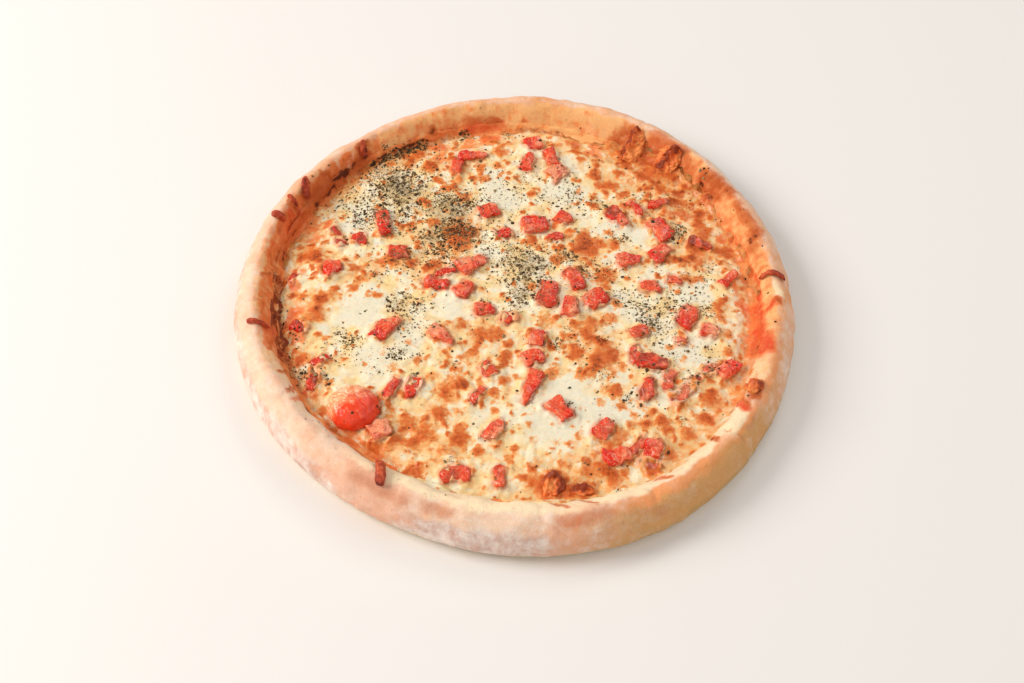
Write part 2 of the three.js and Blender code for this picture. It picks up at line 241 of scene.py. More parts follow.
def streakMask(places, streaks):
    # streaks are [angle, even radius] at one end and at the other, then width and strength
    swayed = places + np.stack([1.3 * lumps(places, 4, turn) + 0.7 * lumps(places, 1.7, turn + 5)
                                for turn in (2.9, 14.3, 26.1)], 1)
    bare = np.ones(len(places))
    for startAngle, startRadius, endAngle, endRadius, width, strength in streaks:
        start = onRimAt(startAngle, startRadius)
        along = onRimAt(endAngle, endRadius) - start
        share = np.clip((swayed - start) @ along / max(along @ along, 0.01), 0, 1)
        away = np.linalg.norm(swayed - start - share[:, None] * along, axis=1) / (width / 2)
        bare *= 1 - strength * np.exp(-away ** 2 * 0.8)
    return 1 - bare


def cheeseLevel(x, y):
    swells = (0.45 * np.sin(x / 15 + 1.3) * np.cos(y / 13 - 0.6)
              + 0.3 * np.sin((x + y) / 9 + 2.1) * np.cos((x - y) / 10.5))
    out = np.hypot(x, y) / pizza["cheeseRadius"]
    return pizza["cheeseTop"] + swells - pizza["edgeDrop"] * smooth(0.93, 1, out)


# Materials: shader sums written as Python.

class Wire:
    def __init__(self, recipe, socket):
        self.recipe = recipe
        self.socket = socket

    def sum(self, operation, *values):
        return self.recipe.node("Math", {"operation": operation}, dict(enumerate(values)))

    def __add__(self, other):
        return self.sum("ADD", self, other)

    def __sub__(self, other):
        return self.sum("SUBTRACT", self, other)

    def __rsub__(self, other):
        return self.sum("SUBTRACT", other, self)

    def __mul__(self, other):
        return self.sum("MULTIPLY", self, other)

    def __abs__(self):
        return self.sum("ABSOLUTE", self)

    __radd__ = __add__
    __rmul__ = __mul__

    def between(self, low, high):
        # 0 below low, 1 above high, smooth between
        return self.recipe.node("MapRange", {"interpolation_type": "SMOOTHSTEP"},
                                {"Value": self, "From Min": low, "From Max": high})


class Recipe:
    def __init__(self, name, look, **settings):
        self.look = look
        self.material = bpy.data.materials.new(name)
        self.material.use_nodes = True
        self.tree = self.material.node_tree
        self.shader = self.tree.nodes["Principled BSDF"]
        for socket, value in settings.items():
            self.shader.inputs[socket.replace("_", " ")].default_value = value

    def node(self, kind, settings=None, sockets=None, out=0):
        made = self.tree.nodes.new("ShaderNode" + kind)
        for setting, value in (settings or {}).items():
            setattr(made, setting, value)
        for socket, value in (sockets or {}).items():
            self.feed(made.inputs[socket], value)
        return Wire(self, made.outputs[out])

    def feed(self, socket, value):
        if isinstance(value, Wire):
            self.tree.links.new(value.socket, socket)
        else:
            socket.default_value = value

    def coat(self, **sockets):
        for socket, value in sockets.items():
            self.feed(self.shader.inputs[socket.replace("_", " ")], value)

    def mask(self, name):
        return self.node("Attribute", {"attribute_name": name}, out=2)

    def grain(self, size, detail=2.0, roughness=0.5, distortion=0.0, turn=None):
        # noise with lumps of that size in millimetres, mostly from -0.2 to 0.2
        place = self.node("TexCoord", out=3)
        if turn:
            place = self.node("VectorMath", {"operation": "ADD"}, {0: place, 1: turn})
        return self.node("TexNoise", {"normalize": True}, {
            "Vector": place, "Scale": perMetre / size, "Detail": detail,
            "Roughness": roughness, "Distortion": distortion}) - 0.5

    def cells(self, size, warp=0.3):
        # round spots on average that far apart: how far to the nearest middle, and its own number
        place = self.node("TexCoord", out=3)
        bent = self.node("TexNoise", None, {"Vector": place, "Scale": perMetre / size * 1.3}, out=1)
        bent = self.node("VectorMath", {"operation": "SUBTRACT"}, {0: bent, 1: (0.5, 0.5, 0.5)})
        bent = self.node("VectorMath", {"operation": "SCALE"}, {0: bent, "Scale": warp * size / perMetre * 2})
        place = self.node("VectorMath", {"operation": "ADD"}, {0: place, 1: bent})
        cell = self.node("TexVoronoi", None, {"Vector": place, "Scale": perMetre / size})
        number = self.node("SeparateColor", None, {0: Wire(self, cell.socket.node.outputs["Color"])})
        return cell, number

    def blend(self, share, first, second, way="MIX"):
        return self.node("Mix", {"data_type": "RGBA", "blend_type": way},
                         {0: share, 6: first, 7: second}, out=2)

    def cover(self, colour, *coats):
        # coats from the lowest to the highest: [share, colour or its name in the look]
        colour = self.look.get(colour, colour)
        for share, over in coats:
            colour = self.blend(share, colour, self.look.get(over, over))
        return colour

    def tone(self, colour, brightness):
        # the colour made lighter and darker by a number round 1
        return self.blend(1.0, colour, brightness, "MULTIPLY")

    def relief(self, height, depth, strength):
        # depth is the height of the relief in millimetres
        return self.node("Bump", None, {"Height": height, "Distance": depth / perMetre, "Strength": strength})


def paint(red, green, blue):
    def linear(value):
        share = value / 255
        return share / 12.92 if share <= 0.04045 else ((share + 0.055) / 1.055) ** 2.4
    return (linear(red), linear(green), linear(blue), 1)


def dress(piece, recipe, slot, *nodes):
    piece.data.materials.clear()
    piece.data.materials.append(recipe.material)
    takeInHand(piece)
    bpy.ops.object.shade_smooth()
    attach(piece, "root")
    if nodes:
        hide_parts(*nodes)


# What ran up the rim or caught there: [angle, even radius] at both ends, width, strength.

stains = {
    "red": [
        [227, 107.5, 241, 108.5, 5, 0.9], [-32.5, 118, -28.5, 110.5, 4, 1], [-42, 117, -39.5, 117, 2.5, 0.6],
        [-14, 116.5, -8, 112, 8, 1], [-16, 114, -12, 111.5, 5, 0.8], [-8, 113, -3, 112, 6, 0.9],
        [-3, 112, 4, 112, 5, 0.85], [-2.5, 115, -0.8, 120.5, 4.5, 0.9], [7, 112.8, 12, 111.2, 3, 0.8],
        [12, 111.2, 18, 111.5, 4.5, 0.9], [18, 110.8, 26, 110.3, 3, 0.7], [3, 112, 7, 113, 2.5, 0.5],
        [36, 110.5, 41, 110.5, 4, 0.5], [44, 110, 58, 109, 6, 0.6], [97, 111.5, 105, 111, 6, 0.8],
        [131, 110, 134, 109, 5, 0.8], [158, 111.5, 169, 111.5, 8, 0.8], [160, 115, 163, 112, 6, 0.8],
        [163, 116, 167, 114.5, 4, 0.7], [170, 115.5, 200, 116, 3.5, 0.6], [133, 112, 140, 112, 5, 0.4],
        [188, 114, 193, 116, 4, 0.5], [194, 112, 199, 113.5, 6, 0.6], [215, 112.5, 217, 117, 2.5, 0.7],
        [302, 110, 303.2, 117, 3, 0.6]],
    "brown": [
        [-43.2, 116, -41, 110, 2.4, 1.3], [-31.5, 118.5, -27.8, 110.3, 1.8, 0.8],
        [-28.5, 119.5, -26, 118, 4, 0.9], [-1.2, 121, -0.6, 119.5, 2.4, 0.9],
        [11, 111.5, 20, 110.5, 3.4, 0.7], [224, 109.5, 245, 110.6, 3, 0.85], [-29, 118, -25, 115, 6, 0.5],
        [16.5, 114.5, 19.5, 118, 7, 0.7], [20, 119, 29, 118, 6, 0.6], [24, 116, 29, 117, 5, 0.5],
        [34, 118.5, 40, 116, 8, 0.8], [36, 113, 41, 112.5, 6, 0.7], [38, 119, 41, 114, 5, 0.6],
        [47, 113, 58, 109, 11, 0.7], [54, 109, 64, 107, 12, 0.8], [65, 114, 68, 108, 8, 0.6],
        [50, 117.5, 58, 116.5, 6, 0.6], [97, 112, 105, 113.5, 5, 0.5], [113.5, 108, 114.2, 113, 3, 0.9],
        [131.5, 116.5, 134, 115, 4, 0.9], [133, 113, 134, 110, 4, 0.6], [135, 111.5, 151, 112, 11, 0.85],
        [150, 112, 172, 111.5, 7, 0.6], [144.5, 112, 145.5, 116, 3, 0.8], [157, 112, 157.8, 120, 1.8, 0.7],
        [161.5, 115.5, 163, 116.5, 4, 0.6], [165, 115.5, 166.5, 114.5, 2.5, 0.6],
        [173, 114.5, 175.5, 112, 1.8, 0.6], [178, 112.5, 180, 116, 2, 0.6], [187, 114, 192, 115, 2, 0.6],
        [196, 112, 201, 115, 2.2, 0.5], [206, 111, 208.5, 115, 2, 0.7], [212, 112, 214.5, 116.5, 2.4, 0.6],
        [230.5, 113.5, 238, 113.5, 4, 0.7], [230, 109, 236, 109.5, 3, 0.6], [280, 125, 286, 123.5, 8, 0.2],
        [277, 114, 281, 117.5, 3, 0.5], [284, 113, 287, 118, 3, 0.6], [301.5, 113, 303.5, 117, 3, 0.7]],
    "dark": [
        [-42.6, 114, -41.6, 111.5, 1.2, 0.6], [-16.8, 112.5, -16, 110, 1.5, 0.6],
        [-28, 120, -26.5, 119.5, 2.5, 0.8], [18, 114.5, 19, 114.5, 2.5, 0.9],
        [18.6, 117, 18.6, 117, 1.8, 0.7], [27.5, 117.2, 27.5, 117.2, 1.6, 0.7], [37, 112, 38, 112, 3.2, 0.95],
        [40.3, 112.6, 41, 112.6, 2.4, 0.9], [34.5, 118.3, 34.5, 118.3, 1.6, 0.7],
        [37.6, 118.6, 37.6, 118.6, 1.6, 0.7], [39, 116.5, 39.3, 116.3, 1.8, 0.7],
        [41, 115.6, 41, 115.6, 1.4, 0.6], [59.6, 113.5, 60.2, 110, 1.8, 0.8], [59.8, 106, 60.2, 105, 3, 0.95],
        [94, 110, 94, 105.5, 2, 0.9], [106, 110.3, 106.8, 109.3, 2.6, 0.95],
        [114, 112.8, 114.4, 112, 1.8, 0.7], [116.5, 110, 123, 109.8, 3, 0.9],
        [123, 110, 132, 110.3, 2.6, 0.8], [131.5, 117, 132.3, 116.3, 2, 0.7],
        [137, 112.5, 139.5, 111.5, 3, 0.6], [139, 112.5, 140.5, 111.8, 2.4, 0.8],
        [141, 112.6, 143.4, 112, 2.6, 0.9], [144.5, 111, 146, 111.4, 2, 0.7], [147, 110, 152, 109.8, 3, 0.7],
        [152, 113, 154, 112.5, 2, 0.5], [161, 110.5, 163, 110.5, 2.2, 0.6], [170, 111, 172, 110.6, 2.4, 0.6],
        [178, 109.8, 185, 109.4, 1.7, 0.9], [184, 109.2, 192, 109.4, 2.2, 1],
        [192, 109.6, 197, 109, 1.8, 0.9], [196, 110, 201.5, 109.5, 2, 0.85],
        [203, 109.5, 210, 108.5, 2, 0.5]],
}


stainLook = {
    "wallRadius": 115, "fibreWidth": 1.7, "fibreLength": 9,
    "wall": paint(250, 188, 122), "wallDeep": paint(244, 148, 82), "bronze": paint(212, 108, 52),
    "orange": paint(236, 118, 64), "red": paint(222, 78, 44), "toast": paint(186, 82, 34),
    "scorched": paint(84, 32, 12),
    # where the wall is plain and evenly baked: middle and half length in degrees
    "calmArc": (80, 20),
}


def fibres(places, radius, angle):
    # streaks that run up the wall, for its uneven colour
    look = stainLook
    streaks = np.column_stack([angle * look["wallRadius"] / look["fibreWidth"], radius / look["fibreLength"],
                               places[:, 2] / look["fibreLength"]])
    return 0.5 + 0.6 * lumps(streaks, 1, 3.3) + 0.4 * lumps(places, 3.4, 7.4)


def wallColour(recipe):
    look = stainLook
    patches = (recipe.grain(5, 4, 0.65, turn=(0.1, 0.6, 0.9)) + recipe.mask("fibre") * 0.3
               + recipe.mask("foot") * 0.1 - recipe.mask("calm") * 0.14)
    return recipe.cover(look["wall"], [patches.between(0.02, 0.3), look["wallDeep"]],
                        [patches.between(0.22, 0.45) * 0.7, look["bronze"]])


def stain(recipe, colour, speckle):
    look = stainLook
    red = recipe.mask("red") * (1 + speckle)
    toast = recipe.mask("brown") * (1 + speckle)
    scorch = (recipe.mask("dark") * (1 + speckle * 0.8)).between(0.15, 0.7)
    colour = recipe.cover(
        colour,
        [red.between(0.08, 0.5) * 0.8, look["orange"]], [red.between(0.4, 1.0) * 0.9, look["red"]],
        [toast.between(0.06, 0.4) * 0.75, look["bronze"]], [toast.between(0.3, 0.95) * 0.85, look["toast"]],
        [scorch * 0.95, look["scorched"]])
    return colour, red.between(0.3, 0.9)


# Crust.

crustLook = {
    "floury": paint(238, 218, 204), "pink": paint(206, 160, 142), "dough": paint(246, 210, 180),
    "peach": paint(242, 180, 138), "golden": paint(232, 150, 88), "cream": paint(255, 230, 190),
    # the low edge colour is painted shade, duller and darker low on the rim's right side
    "honey": paint(216, 160, 96), "crestGold": paint(240, 156, 98), "lowEdgeShade": paint(184, 154, 104),
    "ember": paint(234, 116, 52), "toast": paint(176, 78, 32),
    "underside": paint(236, 208, 150), "flour": paint(244, 226, 214),
    "blush": paint(236, 176, 142), "blotch": paint(206, 134, 100),
    # how golden the crest is round the pizza: [lobes, along, across]
    "bakeMiddle": 0.4, "bakeWaves": [[1, 0.26, 0.14], [2, -0.04, -0.16], [5, 0.04, 0.05]],
    "lumpHeight": 0.8, "wallHeight": 1.3, "dimpleHeight": 0.45, "fineHeight": 0.16, "foldDepth": 0.4,
    "sink": 0.3,
    # even radii between which the coloured bands on the shoulder lie
    "bands": {"blushes": (116, 130.5), "crestGolds": (118.5, 124.5), "honeys": (121.5, 133)},
    # rim creases: angle in degrees, even radius at both ends, depth and width
    "creases": [
        [-39, 114, 126, 1.5, 1.5], [-62, 117, 124, 0.5, 1.2], [158, 116, 125, 0.7, 1.5],
        [205, 115, 122, 0.6, 1.4], [100, 116, 124, 0.6, 1.5], [62, 119, 126, 0.5, 1.2],
        [-84, 116, 122, 0.5, 1.6], [-112, 117, 124, 0.5, 1.3], [-145, 118, 125, 0.5, 1.3],
        [20, 116, 121, 0.5, 1.4], [128, 116, 121, 0.5, 1.4]],
    # baked colour of the inner wall: [middle, half length in degrees, even radius reached, strength]
    "walls": [
        [98, 52, 118.6, 0.9], [172, 36, 117.4, 1], [172, 42, 120.5, 0.6], [20, 40, 119.5, 0.9],
        [-14, 14, 121, 0.6], [-40, 16, 113, 0.4], [-128, 12, 114, 0.4]],
    "embers": [
        [152, 22, 117, 0.9], [178, 26, 116.6, 0.65], [122, 12, 113, 0.35], [104, 8, 113, 0.25],
        [56, 9, 117, 0.6], [22, 24, 113, 0.4], [-10, 12, 114, 0.4], [34, 8, 120, 0.3]],
    # peach blush on the shoulder: [middle, half length in degrees, strength]
    "blushes": [[216, 26, 0.35], [148, 34, 0.5], [184, 14, 0.1], [243, 9, 0.8], [283, 8, 0.5]],
    # orange-gold line along the crest, and honey-coloured side: [middle, half length in degrees, strength]
    "crestGolds": [[302, 11, 1], [330, 12, 0.8], [350, 8, 0.5]],
    "honeys": [[303, 18, 1], [322, 10, 0.7], [342, 12, 0.3]],
    # pale band inside the crest, pale dough lightened further as painted highlight: [middle, half length in
    # degrees, even radius reached, strength]
    "creamAndHighlightBands": [
        [260, 24, 121, 1], [304, 30, 118.6, 1], [324, 5, 121, 1], [338, 4, 120, 0.9], [2.5, 3, 123, 0.9],
        [67, 5, 118, 0.7], [44, 5, 119, 0.5], [214, 14, 117, 0.7], [200, 8, 119, 0.3]],
    # tan blotches on the crest, as streaks: [angle, even radius, angle, even radius, width, strength]
    "blotches": [
        [239, 124.5, 250, 125, 7, 0.8], [254, 124, 259, 124.5, 5, 0.6], [228, 127, 232, 128, 6, 0.3],
        [265, 123, 268, 123, 4, 0.35], [279, 124, 288, 122, 6, 0.7], [289, 123, 299, 127, 8, 0.4],
        [231, 120, 236, 121, 5, 0.35], [324, 124, 330, 122, 5, 0.5], [340, 122, 352, 121, 6, 0.6],
        [212, 129, 209, 130, 4, 0.3]],
}


def makeCrust():
    look = crustLook
    piece = copyOfNode("crust", "crust_baked")
    finishWith(piece, "SUBSURF", levels=3, render_levels=3)
    places, outward = placesAndNormals(piece)
    height = places[:, 2]
    radius, angle = evenPolar(places)
    onRim = smooth(109, 113, radius) * smooth(1, 4, height)
    rise = (look["lumpHeight"] * lumps(places, 17, 3.1)
            + look["wallHeight"] * smooth(120, 114, radius) * lumps(places, 10, 5.9)
            + look["dimpleHeight"] * lumps(places, 6.5, 7.7)
            + look["fineHeight"] * lumps(places, 2.4, 1.9)
            - look["foldDepth"] * np.abs(lumps(places, 9, 12.3)) - look["sink"])
    for degrees, start, end, depth, width in look["creases"]:
        turn = angle - math.radians(degrees) + 0.02 * lumps(places, 6, 4.4)
        aside = np.abs(np.arctan2(np.sin(turn), np.cos(turn))) * radius
        along = smooth(start - 2, start + 1, radius) * smooth(end + 2, end - 1, radius)
        rise -= depth * along * np.exp(-(aside / width) ** 2)
    moveTo(piece, places + outward * (onRim * rise)[:, None])

    uneven = radius + 2.2 * lumps(places, 8, 2.6) + 1.1 * lumps(places, 3, 6.8)
    onTop = smooth(100, 103, radius)
    # painted shade: the low side of the rim towards the right is darkened where shadow falls at its foot
    low = smooth(12, 6, height + 1.5 * lumps(places, 6, 8.2))
    writeMasks(
        piece,
        crest=smooth(11, 19, height + 2.5 * lumps(places, 9, 1.2)),
        bake=look["bakeMiddle"] + wave(angle, look["bakeWaves"]) + 0.22 * lumps(places, 20, 9.1),
        low=low * arcShare(angle, -25, 42) * smooth(124, 127, radius),
        under=smooth(4.5, 1.2, height + 1.5 * lumps(places, 12, 5.2)),
        wall=arcMask(uneven, angle, look["walls"]) * onTop,
        ember=arcMask(uneven, angle, look["embers"]) * onTop,
        band=arcMask(uneven, angle, look["creamAndHighlightBands"]) * onTop,
        foot=smooth(114.5, 110.5, uneven),
        fibre=fibres(places, radius, angle),
        calm=arcShare(angle, *stainLook["calmArc"]),
        blotches=streakMask(places, look["blotches"]))
    for name, (start, end) in look["bands"].items():
        share = sum(strength * arcShare(angle, middle, half) for middle, half, strength in look[name])
        share = share * smooth(start - 1, start + 2, uneven) * smooth(end + 1, end - 2, uneven)
        writeMasks(piece, **{name: share})
    for name, streaks in stains.items():
        writeMasks(piece, **{name: streakMask(places, streaks) * onTop})
    return piece


def crustRecipe():
    recipe = Recipe("crust", crustLook, IOR=1.4, Specular_IOR_Level=0.25, Subsurface_Weight=0.12,
                    Subsurface_Scale=0.003, Subsurface_Radius=(1.0, 0.5, 0.3))
    broad = recipe.grain(14, 3)
    medium = recipe.grain(4.5, 4, 0.6)
    small = recipe.grain(2, 4, 0.65, turn=(0.5, 0.3, 0.8))
    fine = recipe.grain(0.9, 3, 0.65)
    mottle = broad * 1.1 + medium * 0.7
    speckle = medium * 0.9 + small * 0.9
    strong = speckle * 1.6 + (recipe.mask("fibre") - 0.5) * 0.5
    crest = recipe.mask("crest") + mottle * 0.6
    bake = recipe.mask("bake")
    # pinkish dough shows between the flour
    showing = (broad * 1.2 + medium * 1.4 + small * 0.6).between(-0.3, 0.3)
    honey = (recipe.mask("honeys") + mottle * 0.7).between(0.05, 1.0)
    flour = (recipe.grain(5, 5, 0.75, turn=(0.7, 0.2, 0.5)).between(-0.02, 0.16) * (1 - honey * 0.6)
             * (1 - bake.between(0.55, 0.85) * 0.7))
    blush = (recipe.mask("blushes") + mottle * 1.1).between(0.05, 0.95)
    blotch = (recipe.mask("blotches") * (1 + mottle * 1.4)).between(0.05, 0.9)
    gold = (recipe.mask("crestGolds") + mottle * 0.8).between(0.05, 1.0)
    band = (recipe.mask("band") + mottle * 0.5).between(0.05, 0.95)
    wall = (recipe.mask("wall") + speckle * 0.5).between(0.2, 0.9)
    ember = (recipe.mask("ember") * (1 + strong * 1.3)).between(0.15, 0.9)
    away, number = recipe.cells(3.2, 0.4)
    blister = number * (0.06 + recipe.mask("ember") * 0.2 + recipe.mask("brown") * 0.3) - away
    colour = recipe.cover(
        "floury",
        [showing * 0.85, "pink"],
        [crest.between(0.35, 0.95) * 0.9, "dough"],
        [(bake + mottle * 0.8).between(0.2, 0.7) * 0.85, "peach"],
        [(bake + mottle * 0.7).between(0.6, 1.0) * 0.85, "golden"],
        [honey * 0.85, "honey"],
        # painted shade low on the right side of the rim
        [recipe.mask("low") * 0.6, "lowEdgeShade"],
        [flour * 0.5, "flour"],
        [blush * 0.75, "blush"],
        [blotch * 0.75, "blotch"],
        [gold * 0.85, "crestGold"],
        # the pale inner band of the crest: pale dough with painted highlight
        [band * 0.85, "cream"],
        # the wall inside, deeper in colour towards its foot and where sauce ran
        [wall * 0.92, wallColour(recipe)],
        [ember * 0.85, "ember"],
        [blister.between(-0.12, 0.06) * 0.6, "toast"])
    colour, wet = stain(recipe, colour, strong)
    colour = recipe.cover(colour, [recipe.mask("under") * 0.8, "underside"])
    recipe.coat(Base_Color=recipe.tone(colour, 1 + small * 0.22 + fine * 0.18),
                Roughness=0.88 - wet * 0.5 - ember * 0.3,
                Normal=recipe.relief(fine * 0.35 + small * 0.35 + medium * 0.3, 0.9, 0.8))
    return recipe


crust = makeCrust()
dress(crust, crustRecipe(), "crust", "crust")
print("crust:", len(crust.data.polygons), "faces")


# Sauce.

sauceLook = {
    "baked": paint(226, 104, 50), "burnt": paint(128, 44, 20),
    "lumpHeight": 0.9, "fineHeight": 0.5, "swell": 0.2,
    # how far the lip leans on the wall of the rim
    "lean": 1.4,
    # the gap at the left, as middle and half length in degrees: where the lip lies low, and where it is burnt
    "sunkArc": (192, 12), "sunk": 1.2, "burntArc": (190, 14),
}


def makeSauce():
    look = sauceLook
    piece = copyOfNode("sauce", "sauce_layer")
    finishWith(piece, "SUBSURF", levels=3, render_levels=3)
    places, outward = placesAndNormals(piece)
    radius, angle = evenPolar(places)
    onLip = smooth(6.6, 8.2, places[:, 2])
    rise = (look["lumpHeight"] * lumps(places, 6, 8.8) + look["fineHeight"] * lumps(places, 2.4, 1.4)
            + look["swell"])
    moved = places + outward * (onLip * rise)[:, None]
    spread = onLip * smooth(106, 109, radius) * look["lean"] / np.hypot(places[:, 0], places[:, 1])
    moved[:, :2] += (places[:, :2] - offCentre) * spread[:, None]
    moved[:, 2] -= look["sunk"] * onLip * arcShare(angle, *look["sunkArc"])
    moveTo(piece, moved)
    writeMasks(piece, fibre=fibres(places, radius, angle), foot=smooth(114.5, 110.5, radius),
               calm=arcShare(angle, *stainLook["calmArc"]),
               gap=arcShare(angle + 0.1 * lumps(places, 9, 2.2), *look["burntArc"]),
               **{name: streakMask(moved, streaks) for name, streaks in stains.items()})
    return piece


def sauceRecipe():
    recipe = Recipe("sauce", sauceLook, Roughness=0.55, IOR=1.4, Specular_IOR_Level=0.25)
    speckle = recipe.grain(4.5, 4, 0.6) * 1.5 + recipe.grain(2, 4, 0.65) * 1.5
    baked = recipe.grain(3.5, 4, 0.6, turn=(0.6, 0.1, 0.3)).between(-0.15, 0.15)
    burnt = recipe.mask("gap") * 0.54 + recipe.grain(2.2, 4, 0.65, turn=(0.4, 0.4, 0.1))
    colour = recipe.cover(wallColour(recipe), [baked * (0.5 - recipe.mask("calm") * 0.42), "baked"],
                          [burnt.between(0.26, 0.56) * 0.9, "burnt"])
    recipe.coat(Base_Color=stain(recipe, colour, speckle)[0],
                Normal=recipe.relief(recipe.grain(1.6, 3), 0.6, 0.7))
    return recipe


sauce = makeSauce()
dress(sauce, sauceRecipe(), "sauce", "sauce")
print("sauce:", len(sauce.data.polygons), "faces")


# Tomato.

tomatoLook = {
    "cell": 0.5, "bitHeight": 4,
    "sway": (1.5, 1.5, 0.8), "lumpHeight": 0.6, "fineHeight": 0.35, "foldDepth": 0.6,
    "skin": paint(224, 42, 20), "flesh": paint(236, 82, 46), "pale": paint(250, 172, 128),
    "deep": paint(166, 30, 16), "roasted": paint(160, 62, 34), "foot": paint(222, 104, 60),
    # dice that the heat has darkened, by number
    "roastedDice": {1: 0.2, 2: 0.3, 4: 0.2, 5: 0.2, 7: 0.35, 8: 0.45, 9: 0.4, 10: 0.3, 11: 0.5, 13: 0.35,
                    14: 0.6, 15: 0.55, 16: 0.4, 17: 0.4, 18: 0.7, 19: 0.5, 20: 0.5, 21: 0.3, 24: 0.4,
                    25: 1.1, 26: 0.35, 27: 0.2, 28: 0.45, 29: 0.7, 30: 0.3, 33: 0.3, 37: 0.3, 39: 0.4,
                    41: 0.8, 42: 0.8, 43: 0.2},
    # which way the red skin lies, in degrees, on the dice where it shows most
    "skinSides": {1: 180, 3: 200, 4: 180, 5: 60, 7: 60, 10: 300, 12: 300, 14: 0, 27: 180, 31: 250,
                  33: 10, 35: -12, 36: 20, 44: 140, 38: 200, 34: 0},
    # dice cut from pale flesh, by number
    "paleDice": {43: 0.8, 32: 0.5, 6: 0.8, 27: 0.6, 10: 0.45, 12: 0.45, 31: 0.2, 44: 0.2, 16: 0.3},
}


def ripple(piece, seed, roast=0.0, skinSide=None, pale=0.0):
    # soft, wet cut flesh: lumps and fibres, and masks for skin, pale flesh, roasting and the foot
    look = tomatoLook
    places, outward = placesAndNormals(piece)
    sway = np.stack([lumps(places, 5, seed + shift) for shift in (0.3, 13.1, 27.9)], 1)
    rise = (look["lumpHeight"] * lumps(places, 3.6, seed)
            + look["fineHeight"] * lumps(places, 1.8, seed + 5.1)
            - look["foldDepth"] * np.abs(lumps(places, 2.8, seed + 9.7)))
    moveTo(piece, places + sway * look["sway"] + outward * rise[:, None])
    low = places[:, 2].min()
    middle = places.mean(0)
    spread = np.ptp(places, axis=0).max() / 2
    way = seed * 7 if skinSide is None else math.radians(skinSide)
    lean = ((places[:, :2] - middle[:2]) @ [math.cos(way), math.sin(way)]) / spread
    uneven = lean + 0.6 * lumps(places, 5, seed + 2)
    edge = smooth(0.35, 0.95, np.abs(lean)) * smooth(0.2, 0.8, outward[:, 2])
    writeMasks(
        piece,
        skin=smooth(-0.05, 0.5, uneven - 0.4 * pale),
        pale=0.9 * pale + 0.55 * smooth(-0.05, -0.7, uneven) + 0.4 * lumps(places, 3, seed + 8),
        roast=roast * (0.6 + 0.9 * lumps(places, 3.5, seed + 3)) + 0.35 * edge * roast,
        foot=smooth(low + 3.8, low + 2, places[:, 2] + lumps(places, 3, seed + 6)))


def tomatoRecipe():
    recipe = Recipe("tomato", tomatoLook, IOR=1.42, Specular_IOR_Level=0.35, Subsurface_Weight=0.2,
                    Subsurface_Scale=0.003, Subsurface_Radius=(1.0, 0.35, 0.2), Coat_Weight=0.4,
                    Coat_Roughness=0.05)
    medium = recipe.grain(2.6, 4, 0.6)
    fine = recipe.grain(0.9, 3, 0.6)
    pale = recipe.mask("pale") + medium * 1.2
    deeper = recipe.grain(2.1, 3, 0.6, turn=(0.9, 0.3, 0.6)).between(0.03, 0.2)
    # painted highlight: thin pale streaks where wet seed and core catch the light
    wetGlint = abs(recipe.grain(3.2, 2, 0.5, 1.4, turn=(0.2, 0.8, 0.4))).between(0.03, 0)
    colour = recipe.cover(
        "flesh",
        [recipe.mask("skin"), "skin"],
        [pale.between(0.2, 0.95) * 0.75, "pale"],
        [deeper * 0.65, "deep"],
        # painted highlight
        [wetGlint * 0.75, "pale"],
        [recipe.mask("foot") * 0.35, "foot"],
        [(recipe.mask("roast") + medium * 0.8).between(0.25, 0.85), "roasted"])
    recipe.coat(Base_Color=recipe.tone(colour, 0.98 + medium * 0.6 + fine * 0.16),
                Roughness=0.22 + fine * 0.2,
                Normal=recipe.relief(medium * 0.75 + fine * 0.25, 0.7, 0.7))
    return recipe


tomato = tomatoRecipe()
tomatoPieces = []
for number in range(1, 45):
    node = f"tomato_{number:02d}"
    piece = copyOfNode(node, node + "_flesh")
    soften(piece, tomatoLook["cell"], 2)
    ripple(piece, number * 1.37, tomatoLook["roastedDice"].get(number, 0.05),
           tomatoLook["skinSides"].get(number), tomatoLook["paleDice"].get(number, 0))
    dress(piece, tomato, "tomato", node)
    tomatoPieces.append(piece)
print("tomato dice:", len(tomatoPieces), "pieces,", sum(len(p.data.polygons) for p in tomatoPieces), "faces")

# smaller bits that lie in the cheese: [x, y, length, width, turn in degrees]
tomatoBits = [
    [-34.6, 13.6, 9, 4, 25], [-8.2, 39, 8, 6, 20], [60, 10.4, 9, 6, 10], [-86, 32, 12, 4, -65],
    [-16, -57.4, 11, 3.5, 60], [53.4, -79.4, 10, 5, 45], [52.2, -30.6, 10, 4.5, 88],
    [67.4, -43.4, 10, 5, 72], [73.6, -51, 12, 5, 52], [-53.2, -55.4, 12, 4, 70],
    [-44, -54, 11, 5, 82], [-85, -41.4, 9, 4, 42], [-87.6, -53.6, 10, 4, 84],
    [-97.4, -24, 8, 5, -30], [-23, -97.6, 12, 6, 8], [-4.6, -97.4, 10, 5, 86],
    [-12.4, -42, 8, 6, -50], [54.4, -17.4, 7, 6, 30], [73.4, -21.6, 6, 4, 10],
    [57.6, -87.8, 9, 4, -12], [-4, -12.8, 7, 5, 0], [71.6, 15, 7, 5, 0], [86, -37.6, 7, 6, 20],
    [-104, 5, 6, 4, 80], [15.4, 38.6, 8, 4.5, 10], [-76, 31.4, 7, 6, 0], [79.6, -42.4, 6, 4, 30],
]


